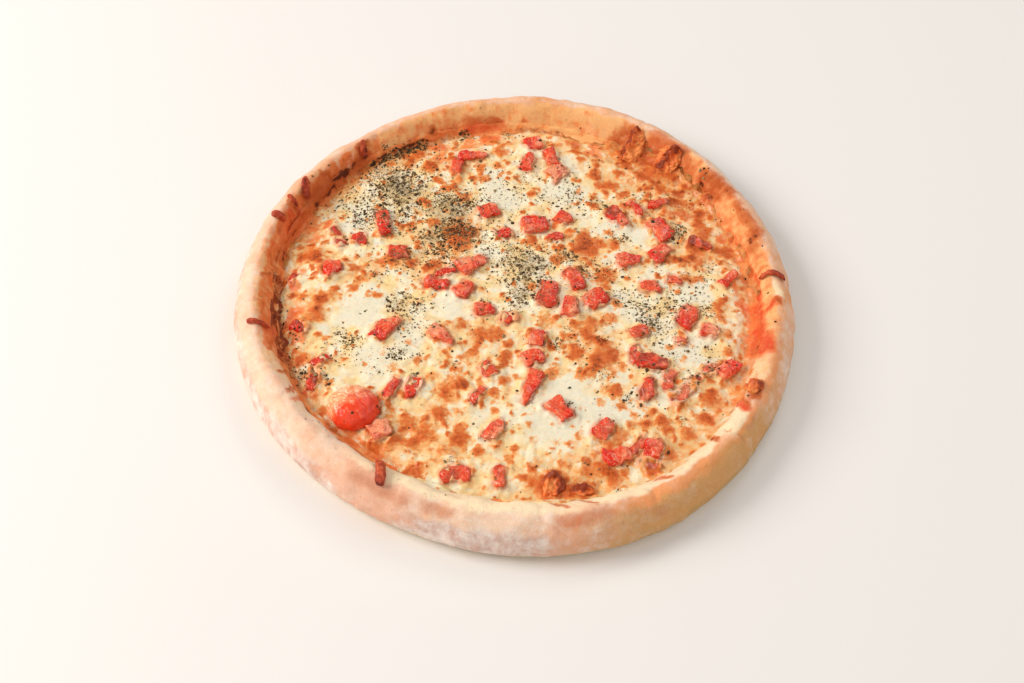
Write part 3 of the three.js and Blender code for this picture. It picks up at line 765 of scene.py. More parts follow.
def makeBit(x, y, length, width, turn):
    bpy.ops.object.select_all(action="DESELECT")
    bpy.ops.mesh.primitive_cube_add(size=1)
    piece = bpy.context.object
    with editing(piece):
        bpy.ops.mesh.subdivide(number_cuts=3)
        bpy.ops.transform.tosphere(value=0.4)
        bpy.ops.transform.resize(value=tuple(np.array([length, width, tomatoLook["bitHeight"]]) / perMetre))
    places = placesOf(piece)
    heading = math.radians(turn)
    turned = places.copy()
    turned[:, 0] = math.cos(heading) * places[:, 0] - math.sin(heading) * places[:, 1]
    turned[:, 1] = math.sin(heading) * places[:, 0] + math.cos(heading) * places[:, 1]
    turned += [x + offCentre[0], y + offCentre[1], cheeseLevel(x, y) - 0.2]
    moveTo(piece, turned)
    return piece


bits = joinPieces([makeBit(*bit) for bit in tomatoBits], "tomato_bits")
soften(bits, tomatoLook["cell"], 3)
ripple(bits, 71.3, 0.55)
dress(bits, tomato, "tomato")
print("tomato bits:", len(tomatoBits))


# Cherry tomato.

cherryLook = {
    # lit is painted light: the skin lighter on the side towards the lamp
    "red": paint(242, 70, 34), "lit": paint(255, 158, 104), "crease": paint(214, 50, 26),
    # the wrinkle colour is painted highlight along the wrinkles
    "wrinkleHighlight": paint(255, 222, 186),
    "cell": 0.45, "lumpHeight": 0.3, "creaseDepth": 0.3, "fineHeight": 0.12,
    # the way to its painted lit side, and its radius
    "litWay": (-0.6, 0.8), "radius": 11,
}


def makeCherry():
    look = cherryLook
    piece = copyOfNode("cherry_tomato", "cherry_tomato_half")
    soften(piece, look["cell"], 6)
    places, outward = placesAndNormals(piece)
    folds = lumps(places, 5.5, 8.1)
    rise = (look["lumpHeight"] * lumps(places * [1, 1, 0.6], 6, 2.4)
            - look["creaseDepth"] * np.exp(-(folds / 0.09) ** 2)
            + look["fineHeight"] * lumps(places, 1.8, 4.9))
    moveTo(piece, places + outward * rise[:, None])
    middle = (places.min(0) + places.max(0)) / 2
    ahead = (places[:, :2] - middle[:2]) @ look["litWay"] / look["radius"]
    # the crease mask is painted shade in the creases
    writeMasks(piece, crease=np.exp(-(folds / 0.12) ** 2),
               # painted light: the side towards the lamp
               glow=smooth(-0.5, 0.7, ahead + 0.3 * lumps(places, 7, 3.2)))
    return piece


def cherryRecipe():
    recipe = Recipe("cherryTomato", cherryLook, Roughness=0.14, IOR=1.45, Subsurface_Weight=0.15,
                    Subsurface_Scale=0.003, Subsurface_Radius=(1.0, 0.35, 0.2))
    medium = recipe.grain(4.5, 3, 0.6)
    glow = recipe.mask("glow")
    # painted highlights along thin wrinkles, plainest on the painted lit side
    wrinkleHighlight = (abs(recipe.grain(6, 3, 0.6, 1.6, turn=(0.3, 0.2, 0.7))).between(0.07, 0)
               * (medium + glow * 0.3).between(0, 0.22))
    colour = recipe.cover(
        "red",
        # painted light: lighter on the side towards the lamp
        [(glow + medium * 1.2).between(0.1, 0.9), "lit"],
        # painted shade in the creases
        [recipe.mask("crease") * 0.3, "crease"],
        [wrinkleHighlight * (0.25 + glow * 0.75), "wrinkleHighlight"])
    recipe.coat(Base_Color=colour, Normal=recipe.relief(recipe.grain(1, 3, 0.6), 0.35, 0.7))
    return recipe


cherry = makeCherry()
dress(cherry, cherryRecipe(), "tomato", "cherry_tomato")
print("cherry tomato:", len(cherry.data.polygons), "faces")


# Browned shreds and blisters.

brownedLook = {
    "golden": paint(240, 146, 78), "orange": paint(224, 108, 52), "brown": paint(146, 60, 30),
    "redShred": paint(212, 96, 58), "shred": paint(176, 66, 38), "darkShred": paint(108, 38, 22),
    "cell": 0.35, "settle": 0.9,
    # blisters: ragged lumps that fall away from a torn ridge
    "lumpHeight": 1.1, "ragHeight": 0.9, "ridgeHeight": 0.5, "sunk": 0.6, "fall": 0.25, "ridgeWidth": 2.4,
    "strandLumps": 0.45, "strandFine": 0.25, "strandSunk": 0.1,
    # the torn, darkest ridge of each blister: [x, y] from one end to the other
    "ridges": {
        "cheese_blister_01": [[48.5, 97.5], [52, 103], [56.5, 109]],
        "cheese_blister_02": [[62.5, 87.5], [69, 90], [76, 91.5]],
        "cheese_blister_03": [[14, -98], [18.5, -96.5], [22, -99.5], [21.5, -105]],
        "cheese_blister_04": [[25.5, -101], [29.5, -102.5], [34, -101]],
        "cheese_blister_05": [[102.5, -50.5], [105, -51.5]]},
}


def awayFromLine(flat, line):
    away = np.full(len(flat), np.inf)
    for start, end in zip(np.array(line[:-1]) + offCentre, np.array(line[1:]) + offCentre):
        share = np.clip((flat - start) @ (end - start) / ((end - start) @ (end - start)), 0, 1)
        beside = flat - start - share[:, None] * (end - start)
        away = np.minimum(away, np.hypot(beside[:, 0], beside[:, 1]))
    return away


def makeBrowned(node):
    look = brownedLook
    piece = copyOfNode(node, node + "_browned")
    soften(piece, look["cell"], 4)
    places, outward = placesAndNormals(piece)
    low = places[:, 2].min()
    if node in look["ridges"]:
        ridge = np.exp(-(awayFromLine(places[:, :2], look["ridges"][node]) / look["ridgeWidth"]) ** 2)
        burnt = 1.1 * ridge + 0.7 * lumps(places, 3, 7.7) + 0.4 * lumps(places, 1.4, 2.7)
        rise = (look["lumpHeight"] * lumps(places, 3, 5.2) + look["ragHeight"] * lumps(places, 1.5, 2.9)
                + look["ridgeHeight"] * ridge - look["sunk"])
        places[:, 2] -= (places[:, 2] - low) * look["fall"] * (1 - ridge)
    else:
        burnt = 0.45 + 0.9 * lumps(places, 5, 7.7) + 0.6 * lumps(places, 1.8, 1.7)
        rise = (look["strandLumps"] * lumps(places, 3.2, 5.2)
                + look["strandFine"] * lumps(places, 1.4, 2.9) - look["strandSunk"])
    moved = places + outward * rise[:, None]
    moved[:, 2] -= look["settle"] * smooth(0.35, -0.1, outward[:, 2])
    moveTo(piece, moved)
    writeMasks(piece, burnt=burnt, shred=np.full(len(places), float("shred" in node)))
    return piece


def brownedRecipe():
    look = brownedLook
    recipe = Recipe("brownedCheese", look, Roughness=0.36, IOR=1.46, Specular_IOR_Level=0.3,
                    Subsurface_Weight=0.1, Subsurface_Scale=0.002)
    shred = recipe.mask("shred")
    medium = recipe.grain(2.2, 4, 0.6)
    small = recipe.grain(1.1, 3, 0.6)
    burnt = recipe.mask("burnt") + medium * 0.9 + small * 0.5
    pale, middle, dark = [recipe.blend(shred, look[blister], look[strand]) for blister, strand in
                          (("golden", "redShred"), ("orange", "shred"), ("brown", "darkShred"))]
    colour = recipe.cover(pale, [burnt.between(0.05, 0.4), middle], [burnt.between(0.45, 1.0), dark])
    recipe.coat(Base_Color=recipe.tone(colour, 1 + medium * 0.35 + small * 0.25),
                Normal=recipe.relief(medium * 0.4 + small * 0.6, 0.6, 0.8))
    return recipe


browned = brownedRecipe()
brownedPieces = []
for node in sorted(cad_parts):
    if node.startswith(("cheese_shred", "cheese_blister")):
        piece = makeBrowned(node)
        dress(piece, browned, "browned_cheese", node)
        brownedPieces.append(piece)
print("browned cheese:", len(brownedPieces), "pieces")


# Cheese.

cheeseLook = {
    # cells across, the height of the flat back, and how far apart its lumps lie
    "cells": 300, "back": 7.2, "lumpsApart": 7.5,
    "cream": paint(252, 237, 204), "butter": paint(252, 220, 160), "pool": paint(241, 233, 207),
    "peach": paint(250, 200, 140), "oily": paint(246, 172, 100), "orange": paint(230, 134, 66),
    "toasted": paint(216, 102, 42), "brown": paint(174, 76, 28), "char": paint(108, 46, 16),
    "juice": paint(244, 116, 66), "sauce": paint(230, 72, 32), "thinSauce": paint(246, 136, 72),
    "dust": paint(176, 146, 100), "edge": paint(230, 134, 70), "shade": paint(134, 84, 42),
    "lumpHeight": 0.9, "strandHeight": 0.25, "blisterHeight": 0.9, "valleyDepth": 0.4, "fineHeight": 0.14,
    # how far it climbs what lies in it and the blisters, and the shaded side of toppings
    "cling": 1.9, "blisterCling": 1.6, "shadedWay": (0.85, -0.53),
    # even radii between which the sheet becomes the thin edge
    "edgeBand": (104, 110),
    # how far that edge runs up the wall of the rim: even radius added, and by arcs in degrees
    "climb": 5.8, "climbVaries": 2.3,
    "climbArcs": [
        [187, 9, -2], [200, 8, -0.6], [0, 26, 1.6], [26, 18, 0.4], [80, 14, -1.2], [108, 12, 0.8],
        [126, 10, -0.4], [150, 18, 0.4], [168, 8, -0.2], [214, 10, 1], [234, 9, -2.6], [262, 26, 2],
        [306, 26, 2]],
    # browned spots: [x, y, size, strength]
    "spots": [
        [-57, 83, 6, 0.6], [-46, 83, 8, 0.85], [-41, 73, 5, 0.7], [-34, 69, 6, 0.8], [-38, 67, 6, 0.6],
        [-28, 62, 8, 0.6], [-48, 58, 6, 0.6], [-43, 44, 6, 0.5], [-49, 31, 4, 0.7], [-31, 38, 14, 0.7],
        [-25, 40, 9, 0.7], [-28, 30, 9, 0.6], [-40, 17, 9, 0.7], [-43, 15, 5, 0.8], [-60, 19, 8, 0.6],
        [-22, 83, 6, 0.6], [-13, 95, 8, 0.6], [-20, 76, 5, 0.6], [-96, 21, 8, 0.8], [-91, 12, 6, 0.7],
        [-74, 13, 5, 0.5], [-73, 7, 6, 0.55], [-66, 18, 5, 0.5], [-52, 17, 5, 0.5], [-52, 92, 8, 0.7],
        [-60, 90, 7, 0.7], [-66, 84, 6, 0.6], [-56, 88, 5, 0.6], [28, 92, 5, 0.7], [34, 82, 7, 0.75],
        [25, 77, 4, 0.5], [37, 75, 6, 0.6], [42, 75, 8, 0.75], [46, 83, 6, 0.65], [47, 68, 5, 0.55],
        [50, 70, 6, 0.6], [35, 92, 5, 0.5], [67, 74, 7, 0.75], [74, 73, 5, 0.8], [85, 60, 6, 0.75],
        [84.5, 55, 6, 0.75], [84, 51, 5, 0.7], [77, 66, 8, 0.6], [72, 65, 6, 0.6], [88, 68, 9, 0.7],
        [93, 65, 6, 0.5], [77, 58, 7, 0.6], [72, 57, 6, 0.5], [87, 47, 8, 0.65], [97, 36, 8, 0.7],
        [93, 34, 6, 0.6], [85, 41, 8, 0.65], [82, 36, 6, 0.8], [85, 33, 6, 0.5], [77, 28, 7, 0.7],
        [83, 27, 7, 0.6], [73, 27, 6, 0.6], [78, 16, 7, 0.55], [83, 17, 5, 0.6], [30, 38, 11, 0.65],
        [31, 33, 11, 0.6], [28, 31, 6, 0.8], [34, 30, 6, 0.6], [44, 36, 6, 0.75], [38, 36, 6, 0.6],
        [40, 43, 4, 0.5], [17, 31, 5, 0.55], [17, 25, 7, 0.65], [38, 16, 12, 0.45], [42, 19, 6, 0.5],
        [25, 103, 6, 0.7], [22, 106, 6, 0.5], [30, 107, 5, 0.5], [43, 105, 6, 0.5], [50, 91, 8, 0.75],
        [60, 82, 6, 0.6], [56, 84, 6, 0.55], [4, 35, 5, 0.5], [8, 33, 5, 0.4], [60, 88, 12, 0.6],
        [68, 85, 12, 0.6], [75, 86, 9, 0.5], [52, 78, 5, 0.4], [63, 78, 5, 0.5], [-90, -6.5, 7, 0.95],
        [-91, -13, 8, 0.65], [-95, -17, 5, 0.5], [-85, -3, 5, 0.55], [-98, -6, 6, 0.6], [-76, 1, 5.5, 0.65],
        [-64, -3, 4.5, 0.65], [-31, -17, 3.5, 0.5], [-25, -17, 6, 0.55], [-16, -22, 9, 0.65],
        [-9, -21, 8, 0.65], [-4, -27, 4.5, 0.6], [-5, -34, 6, 0.8], [-5, -38, 4, 0.7], [-17, -29, 5, 0.7],
        [-31, -36, 5, 0.45], [-42, -38, 4, 0.35], [-23, -37, 5, 0.4], [-27, -50, 11, 0.4],
        [-23, -52, 5.5, 0.95], [-30, -56, 7, 0.65], [-5, -48, 5.5, 0.75], [-9, -55, 5.5, 0.7],
        [-37, -48, 5, 0.4], [-32, -67, 8, 0.6], [-31, -69, 4, 0.7], [-45, -72, 8, 0.65],
        [-38, -76, 9, 0.65], [-42, -82, 7, 0.8], [-48, -81, 6, 0.65], [-22, -80, 8, 0.8],
        [-14, -85, 5.5, 0.75], [-28, -86, 7, 0.5], [-22, -74, 6, 0.5], [-1, -89, 5, 0.6],
        [-56, -87, 8, 0.6], [-50, -84, 6, 0.6], [-41, -96, 7, 0.7], [-36, -93, 4, 0.35],
        [-86, -60, 5, 0.5], [-82, -68, 6, 0.65], [-80, -53, 4, 0.5], [-94, -40, 8, 0.8],
        [-54, -43, 6, 0.3], [13, -12, 9, 0.4], [26, -14, 5.5, 0.65], [33, -13, 6, 0.7], [31, -19, 8, 0.65],
        [42, -9, 8, 0.45], [45, 0, 6, 0.5], [21, -21, 5, 0.6], [38, -24, 6, 0.85], [27, -30, 7, 0.8],
        [38, -32, 11, 0.65], [35, -34, 5, 0.75], [43, -30, 6, 0.65], [30, -42, 8, 0.6], [33, -39, 5, 0.6],
        [16, -42, 6, 0.55], [43, -50, 8, 0.75], [46, -58, 5.5, 0.6], [37, -57, 5, 0.4], [57, -67, 6, 0.65],
        [64, -64, 6, 0.7], [66, -70, 7, 0.7], [75, -71, 7, 0.65], [83, -62, 7, 0.85], [87, -52, 8, 0.55],
        [88, -58, 4, 0.6], [86, -49, 5, 0.6], [95, -16, 5, 0.6], [94, -26, 6, 0.65], [92, 1, 7, 0.7],
        [92, -7, 5, 0.6], [83, -53, 6, 0.5], [50, -68, 5, 0.55], [45, -74, 8, 0.5], [67, -82, 7, 0.6],
        [58, -89, 7, 0.8], [60, -92, 6, 0.6], [32, -92, 8, 0.6], [38, -92, 7, 0.6], [41, -94, 5, 0.75],
        [47, -92, 5.5, 0.6], [35, -84, 5, 0.45], [20, -90, 4.5, 0.5], [10, -90, 6, 0.3], [24, -79, 4, 0.5],
        [1, -84, 3.5, 0.7], [5, -97, 5, 0.65], [44, -98, 8, 0.45], [17, -102, 12, 0.7], [10, -100, 8, 0.6],
        [25, -103, 8, 0.7], [18, -97, 8, 0.7], [71, -64, 3, 0.8], [79, -64, 5, 0.4], [97, -46, 8, 0.4],
    ],
    # small random spots: how plentiful in all, least size and how much more, and how far out they lie
    "spotPlenty": 1.4, "spotSize": (1.3, 3.1), "spotReach": 112,
    # where they are thick: [x, y, radius, how many]
    "spotFields": [
        [50, 84, 30, 46], [82, 54, 30, 46], [84, 24, 20, 20], [-30, 92, 28, 26], [-90, 16, 20, 24],
        [72, -64, 24, 16], [20, -92, 34, 24], [-40, -78, 24, 26], [-16, -40, 26, 26], [32, -26, 20, 26],
        [-44, 46, 20, 16], [-50, 16, 20, 16], [20, 32, 16, 12], [96, -36, 18, 6], [-92, -30, 16, 10],
        [0, 0, 104, 240], [56, 40, 32, 24], [60, -42, 28, 20]],
    # pale, smooth pools: [x, y, size, strength]
    "pools": [
        [-80, 40, 14, 0.9], [-64, 28, 8, 0.9], [-14, 76, 18, 0.8], [-12, 63, 20, 0.8], [-17, 25, 10, 0.7],
        [-55, 50, 14, 0.5], [-72, 57, 18, 0.5], [22, 88, 12, 0.7], [16, 98, 8, 0.6], [18, 70, 26, 0.7],
        [43, 46, 16, 0.9], [55, 43, 15, 0.8], [55, 66, 9, 0.8], [62, 57, 6, 0.7], [40, 26, 9, 0.8],
        [60, 20, 10, 0.6], [33, 13, 8, 0.8], [68, 12, 7, 0.8], [82, 8, 16, 0.7], [10, 22, 9, 0.7],
        [18, 37, 9, 0.6], [78, 53, 9, 0.6], [-70, -10, 26, 0.95], [-86, -22, 12, 0.8], [-30, -7, 16, 0.8],
        [-46, -26, 18, 0.7], [-62, -41, 22, 0.7], [-48, -53, 7, 0.7], [-15, -66, 18, 0.7], [-56, -66, 6, 0.6],
        [66, -26, 14, 0.8], [79, -30, 16, 0.9], [50, -5, 18, 0.6], [62, -10, 18, 0.4], [22, -54, 22, 0.9],
        [40, -62, 24, 0.8], [14, -72, 24, 0.7], [45, -42, 12, 0.7], [52, -58, 10, 0.6], [72, -45, 6, 0.6],
        [66, -56, 7, 0.6], [102, -9, 7, 0.6], [-8, -94, 10, 0.5], [28, -72, 18, 0.6]],
    # broad orange oil: [x, y, size, strength]
    "oils": [
        [75, 68, 44, 0.9], [50, 92, 40, 0.8], [20, 106, 36, 0.7], [-30, 100, 44, 0.8], [100, 30, 30, 0.8],
        [98, -40, 20, 0.4], [82, -62, 30, 0.4], [60, -72, 24, 0.4], [30, -95, 44, 0.8], [-10, -92, 30, 0.5],
        [-38, -80, 34, 0.8], [-56, -86, 20, 0.8], [-96, 30, 30, 0.9], [-100, -10, 22, 0.9],
        [-92, -50, 20, 0.8], [-90, -8, 22, 0.5], [30, 34, 26, 0.6], [-12, -24, 26, 0.6], [-28, -54, 24, 0.6],
        [34, -30, 34, 0.7], [30, -16, 22, 0.6], [84, 38, 24, 0.7], [80, 26, 16, 0.6], [-30, 40, 24, 0.6],
        [-44, 20, 22, 0.6], [-62, 18, 20, 0.5], [-75, 10, 16, 0.5], [42, -50, 14, 0.5], [92, -5, 14, 0.7],
        [58, 44, 34, 0.45], [62, -44, 30, 0.35]],
    # arcs in degrees, middle and half length: where the edge stays pale, and where oil gathered on the rim
    "bareEdge": (278, 52),
    "rimOils": [[25, 50], [110, 40], [180, 30], [-45, 14]],
    # red sauce that comes through: [x, y, size, strength]
    "sauceSpots": [
        [-97, 57, 11, 0.9], [-92, 66, 9, 0.9], [-103, 42, 13, 0.8], [-108, 40, 10, 0.8], [-92, 41, 7, 0.8],
        [-96, 21, 9, 0.5], [-89, 12, 8, 0.6], [-98, 30, 10, 0.5], [-103, 0, 7, 0.8], [-100, -14, 8, 0.7],
        [-100, -22, 9, 0.8], [-97, -28, 7, 0.6], [-94, -40, 8, 0.7], [-88, -50, 8, 0.6], [-91, -60, 6, 0.7],
        [-100, 10, 8, 0.5], [-44, 99, 10, 0.8], [-33, 82, 8, 0.8], [-28, 100, 9, 0.5], [-18, 106, 12, 0.8],
        [-10, 95, 7, 0.5], [-42, 89, 9, 0.7], [34, 98, 9, 0.6], [35, 105, 6, 0.7], [47, 98, 8, 0.7],
        [62, 87, 16, 0.7], [74, 85, 10, 0.6], [50, 91, 8, 0.5], [95, 45, 8, 0.7], [102, 42, 8, 0.7],
        [88, 66, 10, 0.5], [105, 34, 8, 0.8], [107, 28, 8, 0.8], [106, 20, 8, 0.6], [100, 12, 8, 0.5],
        [103, 3, 8, 0.6], [108, -2, 12, 0.9], [108, -15, 14, 1], [107, -25, 11, 0.9], [98, -52, 7, 0.6],
        [-75, -78, 6, 0.7], [-68, -84, 6, 0.6], [-60, -88, 7, 0.6], [-52, -86, 6, 0.5], [-58, -60, 6, 0.5],
        [-46, -76, 8, 0.5], [-40, -80, 8, 0.5], [88, -56, 5, 0.5], [45, -74, 6, 0.5], [16, -42, 5, 0.6]],
    # herb dust under the thickest flakes: [x, y, size, strength]
    "dustSpots": [
        [-62, 69, 24, 0.8], [-31, 40, 20, 0.8], [-33, 57, 16, 0.7], [-74, 45, 12, 0.6], [-44, 33, 12, 0.6],
        [4, 20, 24, 0.7], [2, 2, 14, 0.6], [-53, -7, 14, 0.5], [63, -8, 20, 0.5], [73, 45, 9, 0.6],
        [-93, -49, 8, 0.7], [-73, -31, 10, 0.4], [20, 27, 10, 0.4], [-54, 60, 24, 0.5], [-38, 50, 24, 0.6]],
}


def squareToDisc(flat):
    x, y = flat[:, 0], flat[:, 1]
    wide = np.abs(x) > np.abs(y)
    radius = np.where(wide, x, y)
    safe = np.where(radius == 0, 1, radius)
    turn = math.pi / 4 * np.where(wide, y, x) / safe
    angle = np.where(wide, turn, math.pi / 2 - turn)
    return radius * np.cos(angle), radius * np.sin(angle)


def randomSpots():
    look = cheeseLook
    draw = random.Random(5)
    least, more = look["spotSize"]
    spots = []
    for x, y, radius, count in look["spotFields"]:
        for _ in range(round(count * look["spotPlenty"])):
            away = radius * math.sqrt(draw.random())
            angle = draw.random() * 2 * math.pi
            spot = [x + away * math.cos(angle), y + away * math.sin(angle),
                    least + more * draw.random() ** 2, 0.4 + 0.6 * draw.random()]
            if math.hypot(spot[0], spot[1]) < look["spotReach"]:
                spots.append(spot)
    return spots


def sheetInPlan(square):
    # the sheet seen from above: each place, its share of the way out, even radius and angle
    look = cheeseLook
    x, y = squareToDisc(square)
    share = np.hypot(x, y)
    angle = np.arctan2(y, x)
    rimward = np.stack([np.cos(angle), np.sin(angle), np.zeros(len(angle))], 1)
    edge = pizza["cheeseRadius"] + wave(angle, pizza["cheeseEdgeWaves"])
    climb = look["climb"] + look["climbVaries"] * (
        lumps(rimward, 0.22, 3.3) + 0.8 * lumps(rimward, 0.06, 6.1) + 0.25 * lumps(rimward, 0.025, 1.6))
    for middle, half, added in look["climbArcs"]:
        climb += added * arcShare(angle, middle, half)
    even = share * (edge + climb)
    return toUneven(even, angle)[:, None] * rimward[:, :2], share, even, angle


def layOnRim(flat, share, even):
    # height of the sheet, its edge thinned out and laid on what rises round it
    under = surfaceOf(crust, sauce)
    sheet = cheeseLevel(flat[:, 0], flat[:, 1])
    level = sheet.copy()
    for i in np.flatnonzero(even > cheeseLook["edgeBand"][0]):
        ground = lookDown(under, *(flat[i] + offCentre))[0]
        thin = max(0, (even[i] - even[i] / share[i] + 4) / 4)
        level[i] = max(sheet[i] - 3 * thin, ground.z + 1 - 2 * thin ** 2)
    return level


def spotsAndPools(places):
    # masks for the browned spots, the paler ring round each, and the smooth pools between
    look = cheeseLook
    warped = ragged(places, 4.2, 1.7, 2.7) + ragged(places, 1.7, 0.8, 8.3) - places[:, :2]
    pool = spotMask(ragged(places, 11, 7, 4.4), look["pools"], 4)
    scattered = randomSpots()
    browned = 1 - ((1 - spotMask(warped, look["spots"], 3))
                   * (1 - (1 - 0.6 * pool) * spotMask(warped, scattered, 2.5)))
    wider = [[x, y, 1.7 * size, 0.8 * strength] for x, y, size, strength in look["spots"] + scattered]
    return browned, spotMask(warped, wider), pool * (1 - smooth(0.2, 0.6, browned))


def valleysBetweenLumps(places):
    wandering = np.column_stack([ragged(places, 8, 4, 1.8), np.zeros(len(places))])
    nearest = np.array([noise.voronoi(p)[0][:2] for p in (wandering / cheeseLook["lumpsApart"]).tolist()])
    return smooth(0.28, 0.02, nearest[:, 1] - nearest[:, 0])


def lumpyHeight(places, even, browned, pool, valley):
    # height of lumps, strands, valleys and blistered spots; pools and the edge are calmer
    look = cheeseLook
    calm = (1 - 0.7 * pool) * (1 - 0.6 * smooth(*look["edgeBand"], even))
    strands = 1 - 2 * np.abs(lumps(places, 3.6, 1.1))
    return (calm * (look["lumpHeight"] * lumps(places, 9, 6.6)
                    + look["strandHeight"] * (strands - 0.4)
                    + look["fineHeight"] * lumps(places, 1.5, 9.4))
            - look["valleyDepth"] * valley * (1 - browned)
            + look["blisterHeight"] * browned * (0.8 + 0.35 * lumps(places, 1.6, 3.8)))


def awayFrom(pieces, places):
    # distance to the nearest of the pieces, and the way from it in plan
    surface = surfaceOf(*pieces)
    nearest = [surface.find_nearest(p) for p in places.tolist()]
    way = places[:, :2] - np.array([found[0][:2] for found in nearest])
    return np.array([found[3] for found in nearest]), way


def closeBelow(piece):
    # a short skirt and a flat back close the sheet
    with editing(piece, "DESELECT"):
        bpy.ops.mesh.select_mode(type="EDGE")
        bpy.ops.mesh.select_non_manifold()
        bpy.ops.mesh.extrude_edges_move()
        bpy.ops.transform.resize(value=(0.97, 0.97, 0),
                                 center_override=(0, 0, cheeseLook["back"] / perMetre))
        bpy.ops.mesh.edge_face_add()
        bpy.ops.mesh.select_mode(type="VERT")


def makeCheese():
    look = cheeseLook
    bpy.ops.object.select_all(action="DESELECT")
    bpy.ops.mesh.primitive_grid_add(x_subdivisions=look["cells"], y_subdivisions=look["cells"], size=2)
    piece = bpy.context.object
    piece.name = piece.data.name = "cheese_melted"
    flat, share, even, angle = sheetInPlan(placesOf(piece)[:, :2] / perMetre)
    places = np.column_stack([flat + offCentre, np.zeros(len(flat))])
    browned, halo, pool = spotsAndPools(places)
    valley = valleysBetweenLumps(places) * (1 - 0.8 * pool)
    level = layOnRim(flat, share, even) + lumpyHeight(places, even, browned, pool, valley)

    # cheese clings to what lies in it, and browns round the blisters
    sheet = np.column_stack([places[:, :2], level])
    near, way = awayFrom([*tomatoPieces, bits, cherry], sheet)
    beside = awayFrom([p for p in brownedPieces if "blister" in p.name], sheet)[0]
    lee = way @ look["shadedWay"] / np.maximum(np.hypot(way[:, 0], way[:, 1]), 0.01)
    level += look["cling"] * np.exp(-(near / 2.5) ** 2) * (0.6 + lumps(places, 3, 4.6))
    level += look["blisterCling"] * np.exp(-(beside / 2.6) ** 2) * (0.7 + 0.7 * lumps(places, 3, 9.6))
    browned = np.maximum(browned, np.exp(-(beside / 3) ** 2) * (0.62 + 0.5 * lumps(places, 2.6, 3.3)))
    places[:, 2] = level
    moveTo(piece, places)

    centre = evenPolar(places)[0]
    rimOil = sum(arcShare(angle, *arc) for arc in look["rimOils"]).clip(0, 1)
    ran = {name: streakMask(places, streaks) for name, streaks in stains.items()}
    stained = spotMask(ragged(places, 5, 3, 3.9), look["sauceSpots"], 3)
    writeMasks(
        piece, dark=ran["dark"], halo=halo, pool=pool, valley=valley,
        browned=np.maximum(browned, np.maximum(0.75 * ran["brown"], ran["dark"])),
        oil=np.maximum(spotMask(ragged(places, 13, 9, 7.1), look["oils"], 3),
                       smooth(94, 108, centre) * rimOil * 0.9),
        sauce=np.maximum(stained, 0.9 * ran["red"]),
        dust=spotMask(ragged(places, 6, 4, 9.9), look["dustSpots"]),
        juice=np.exp(-(near / 2) ** 2),
        shade=np.exp(-(near / 1.7) ** 2) * smooth(-0.1, 0.8, lee),
        edge=smooth(106.5, 110.5, centre) * (1 - arcShare(angle, *look["bareEdge"])))
    closeBelow(piece)
    return piece


def cheeseRecipe():
    recipe = Recipe("cheese", cheeseLook, IOR=1.44, Specular_IOR_Level=0.25, Subsurface_Weight=0.2,
                    Subsurface_Scale=0.003, Subsurface_Radius=(1.0, 0.6, 0.35), Coat_Roughness=0.12)
    broad = recipe.grain(8, 3)
    medium = recipe.grain(3.4, 3, 0.55)
    small = recipe.grain(1.6, 3, 0.6, turn=(0.4, 0.9, 0.3))
    fine = recipe.grain(0.8, 3, 0.6)
    pool = recipe.mask("pool")
    oily = recipe.mask("oil")
    valley = recipe.mask("valley")
    mottle = medium * 1.9 + broad * 0.9 + small * 1.2
    oil = oily * 0.55 + recipe.mask("halo") * 0.45 + 0.05 + mottle + valley * 0.25 - pool * 0.4
    # small toasted bubbles, thickest where it is oily
    away, number = recipe.cells(4.6, 0.35)
    bubble = number * (0.2 + oily * 0.36) - away - pool * 0.25
    dust = recipe.mask("dust") + medium * 0.8 + small * 0.6
    edge = recipe.mask("edge") + mottle * 0.5
    juice = recipe.mask("juice") + small * 0.8
    sauce = recipe.mask("sauce") + medium + small * 0.6
    browned = (recipe.mask("browned") * 1.14 + recipe.mask("dark") * 0.2 + small * 1.15
               + medium * 0.5 + fine * 0.35)
    shade = recipe.mask("shade") + small * 0.9
    colour = recipe.cover(
        "cream",
        [broad.between(-0.1, 0.1), "butter"],
        [pool.between(0.2, 0.8) * 0.9, "pool"],
        [oil.between(0.25, 0.75) * 0.8, "peach"],
        [oil.between(0.7, 1.25) * 0.85, "oily"],
        [bubble.between(-0.14, 0.02) * 0.7, "oily"],
        [bubble.between(-0.02, 0.12) * 0.9, "orange"],
        [bubble.between(0.12, 0.28) * 0.8, "toasted"],
        [dust.between(0.3, 0.9) * 0.7, "dust"],
        [edge.between(0.15, 0.9) * 0.85, "edge"],
        [juice.between(0.4, 1.0) * 0.5, "juice"],
        [sauce.between(0.15, 0.55) * 0.85, "thinSauce"],
        [(sauce + fine * 0.6).between(0.5, 1.1) * 0.9, "sauce"],
        [browned.between(0.1, 0.4) * 0.85, "oily"],
        [browned.between(0.25, 0.6) * 0.95, "orange"],
        [browned.between(0.48, 0.85) * 0.95, "toasted"],
        [browned.between(0.8, 1.14), "brown"],
        [browned.between(1.1, 1.34), "char"],
        [shade.between(0.25, 1.0) * 0.65, "shade"])
    # the tone is a little darker in the valleys between lumps: painted shade
    tone = 0.97 + small * 0.3 + medium * 0.22 + fine * 0.1 - valley * 0.06
    recipe.coat(Base_Color=recipe.tone(colour, tone),
                Roughness=0.4 - pool * 0.2 - oil.between(0.3, 0.9) * 0.12 + browned.between(0.4, 1.0) * 0.2,
                Coat_Weight=(oil.between(0.3, 1.0) * 0.3 + pool * 0.25) * (1 - browned.between(0.4, 0.9)),
                Normal=recipe.relief(medium * 0.4 + small * 0.35 + fine * 0.25
                                     + bubble.between(-0.05, 0.2) * 0.3, 0.7, 0.8))
    return recipe


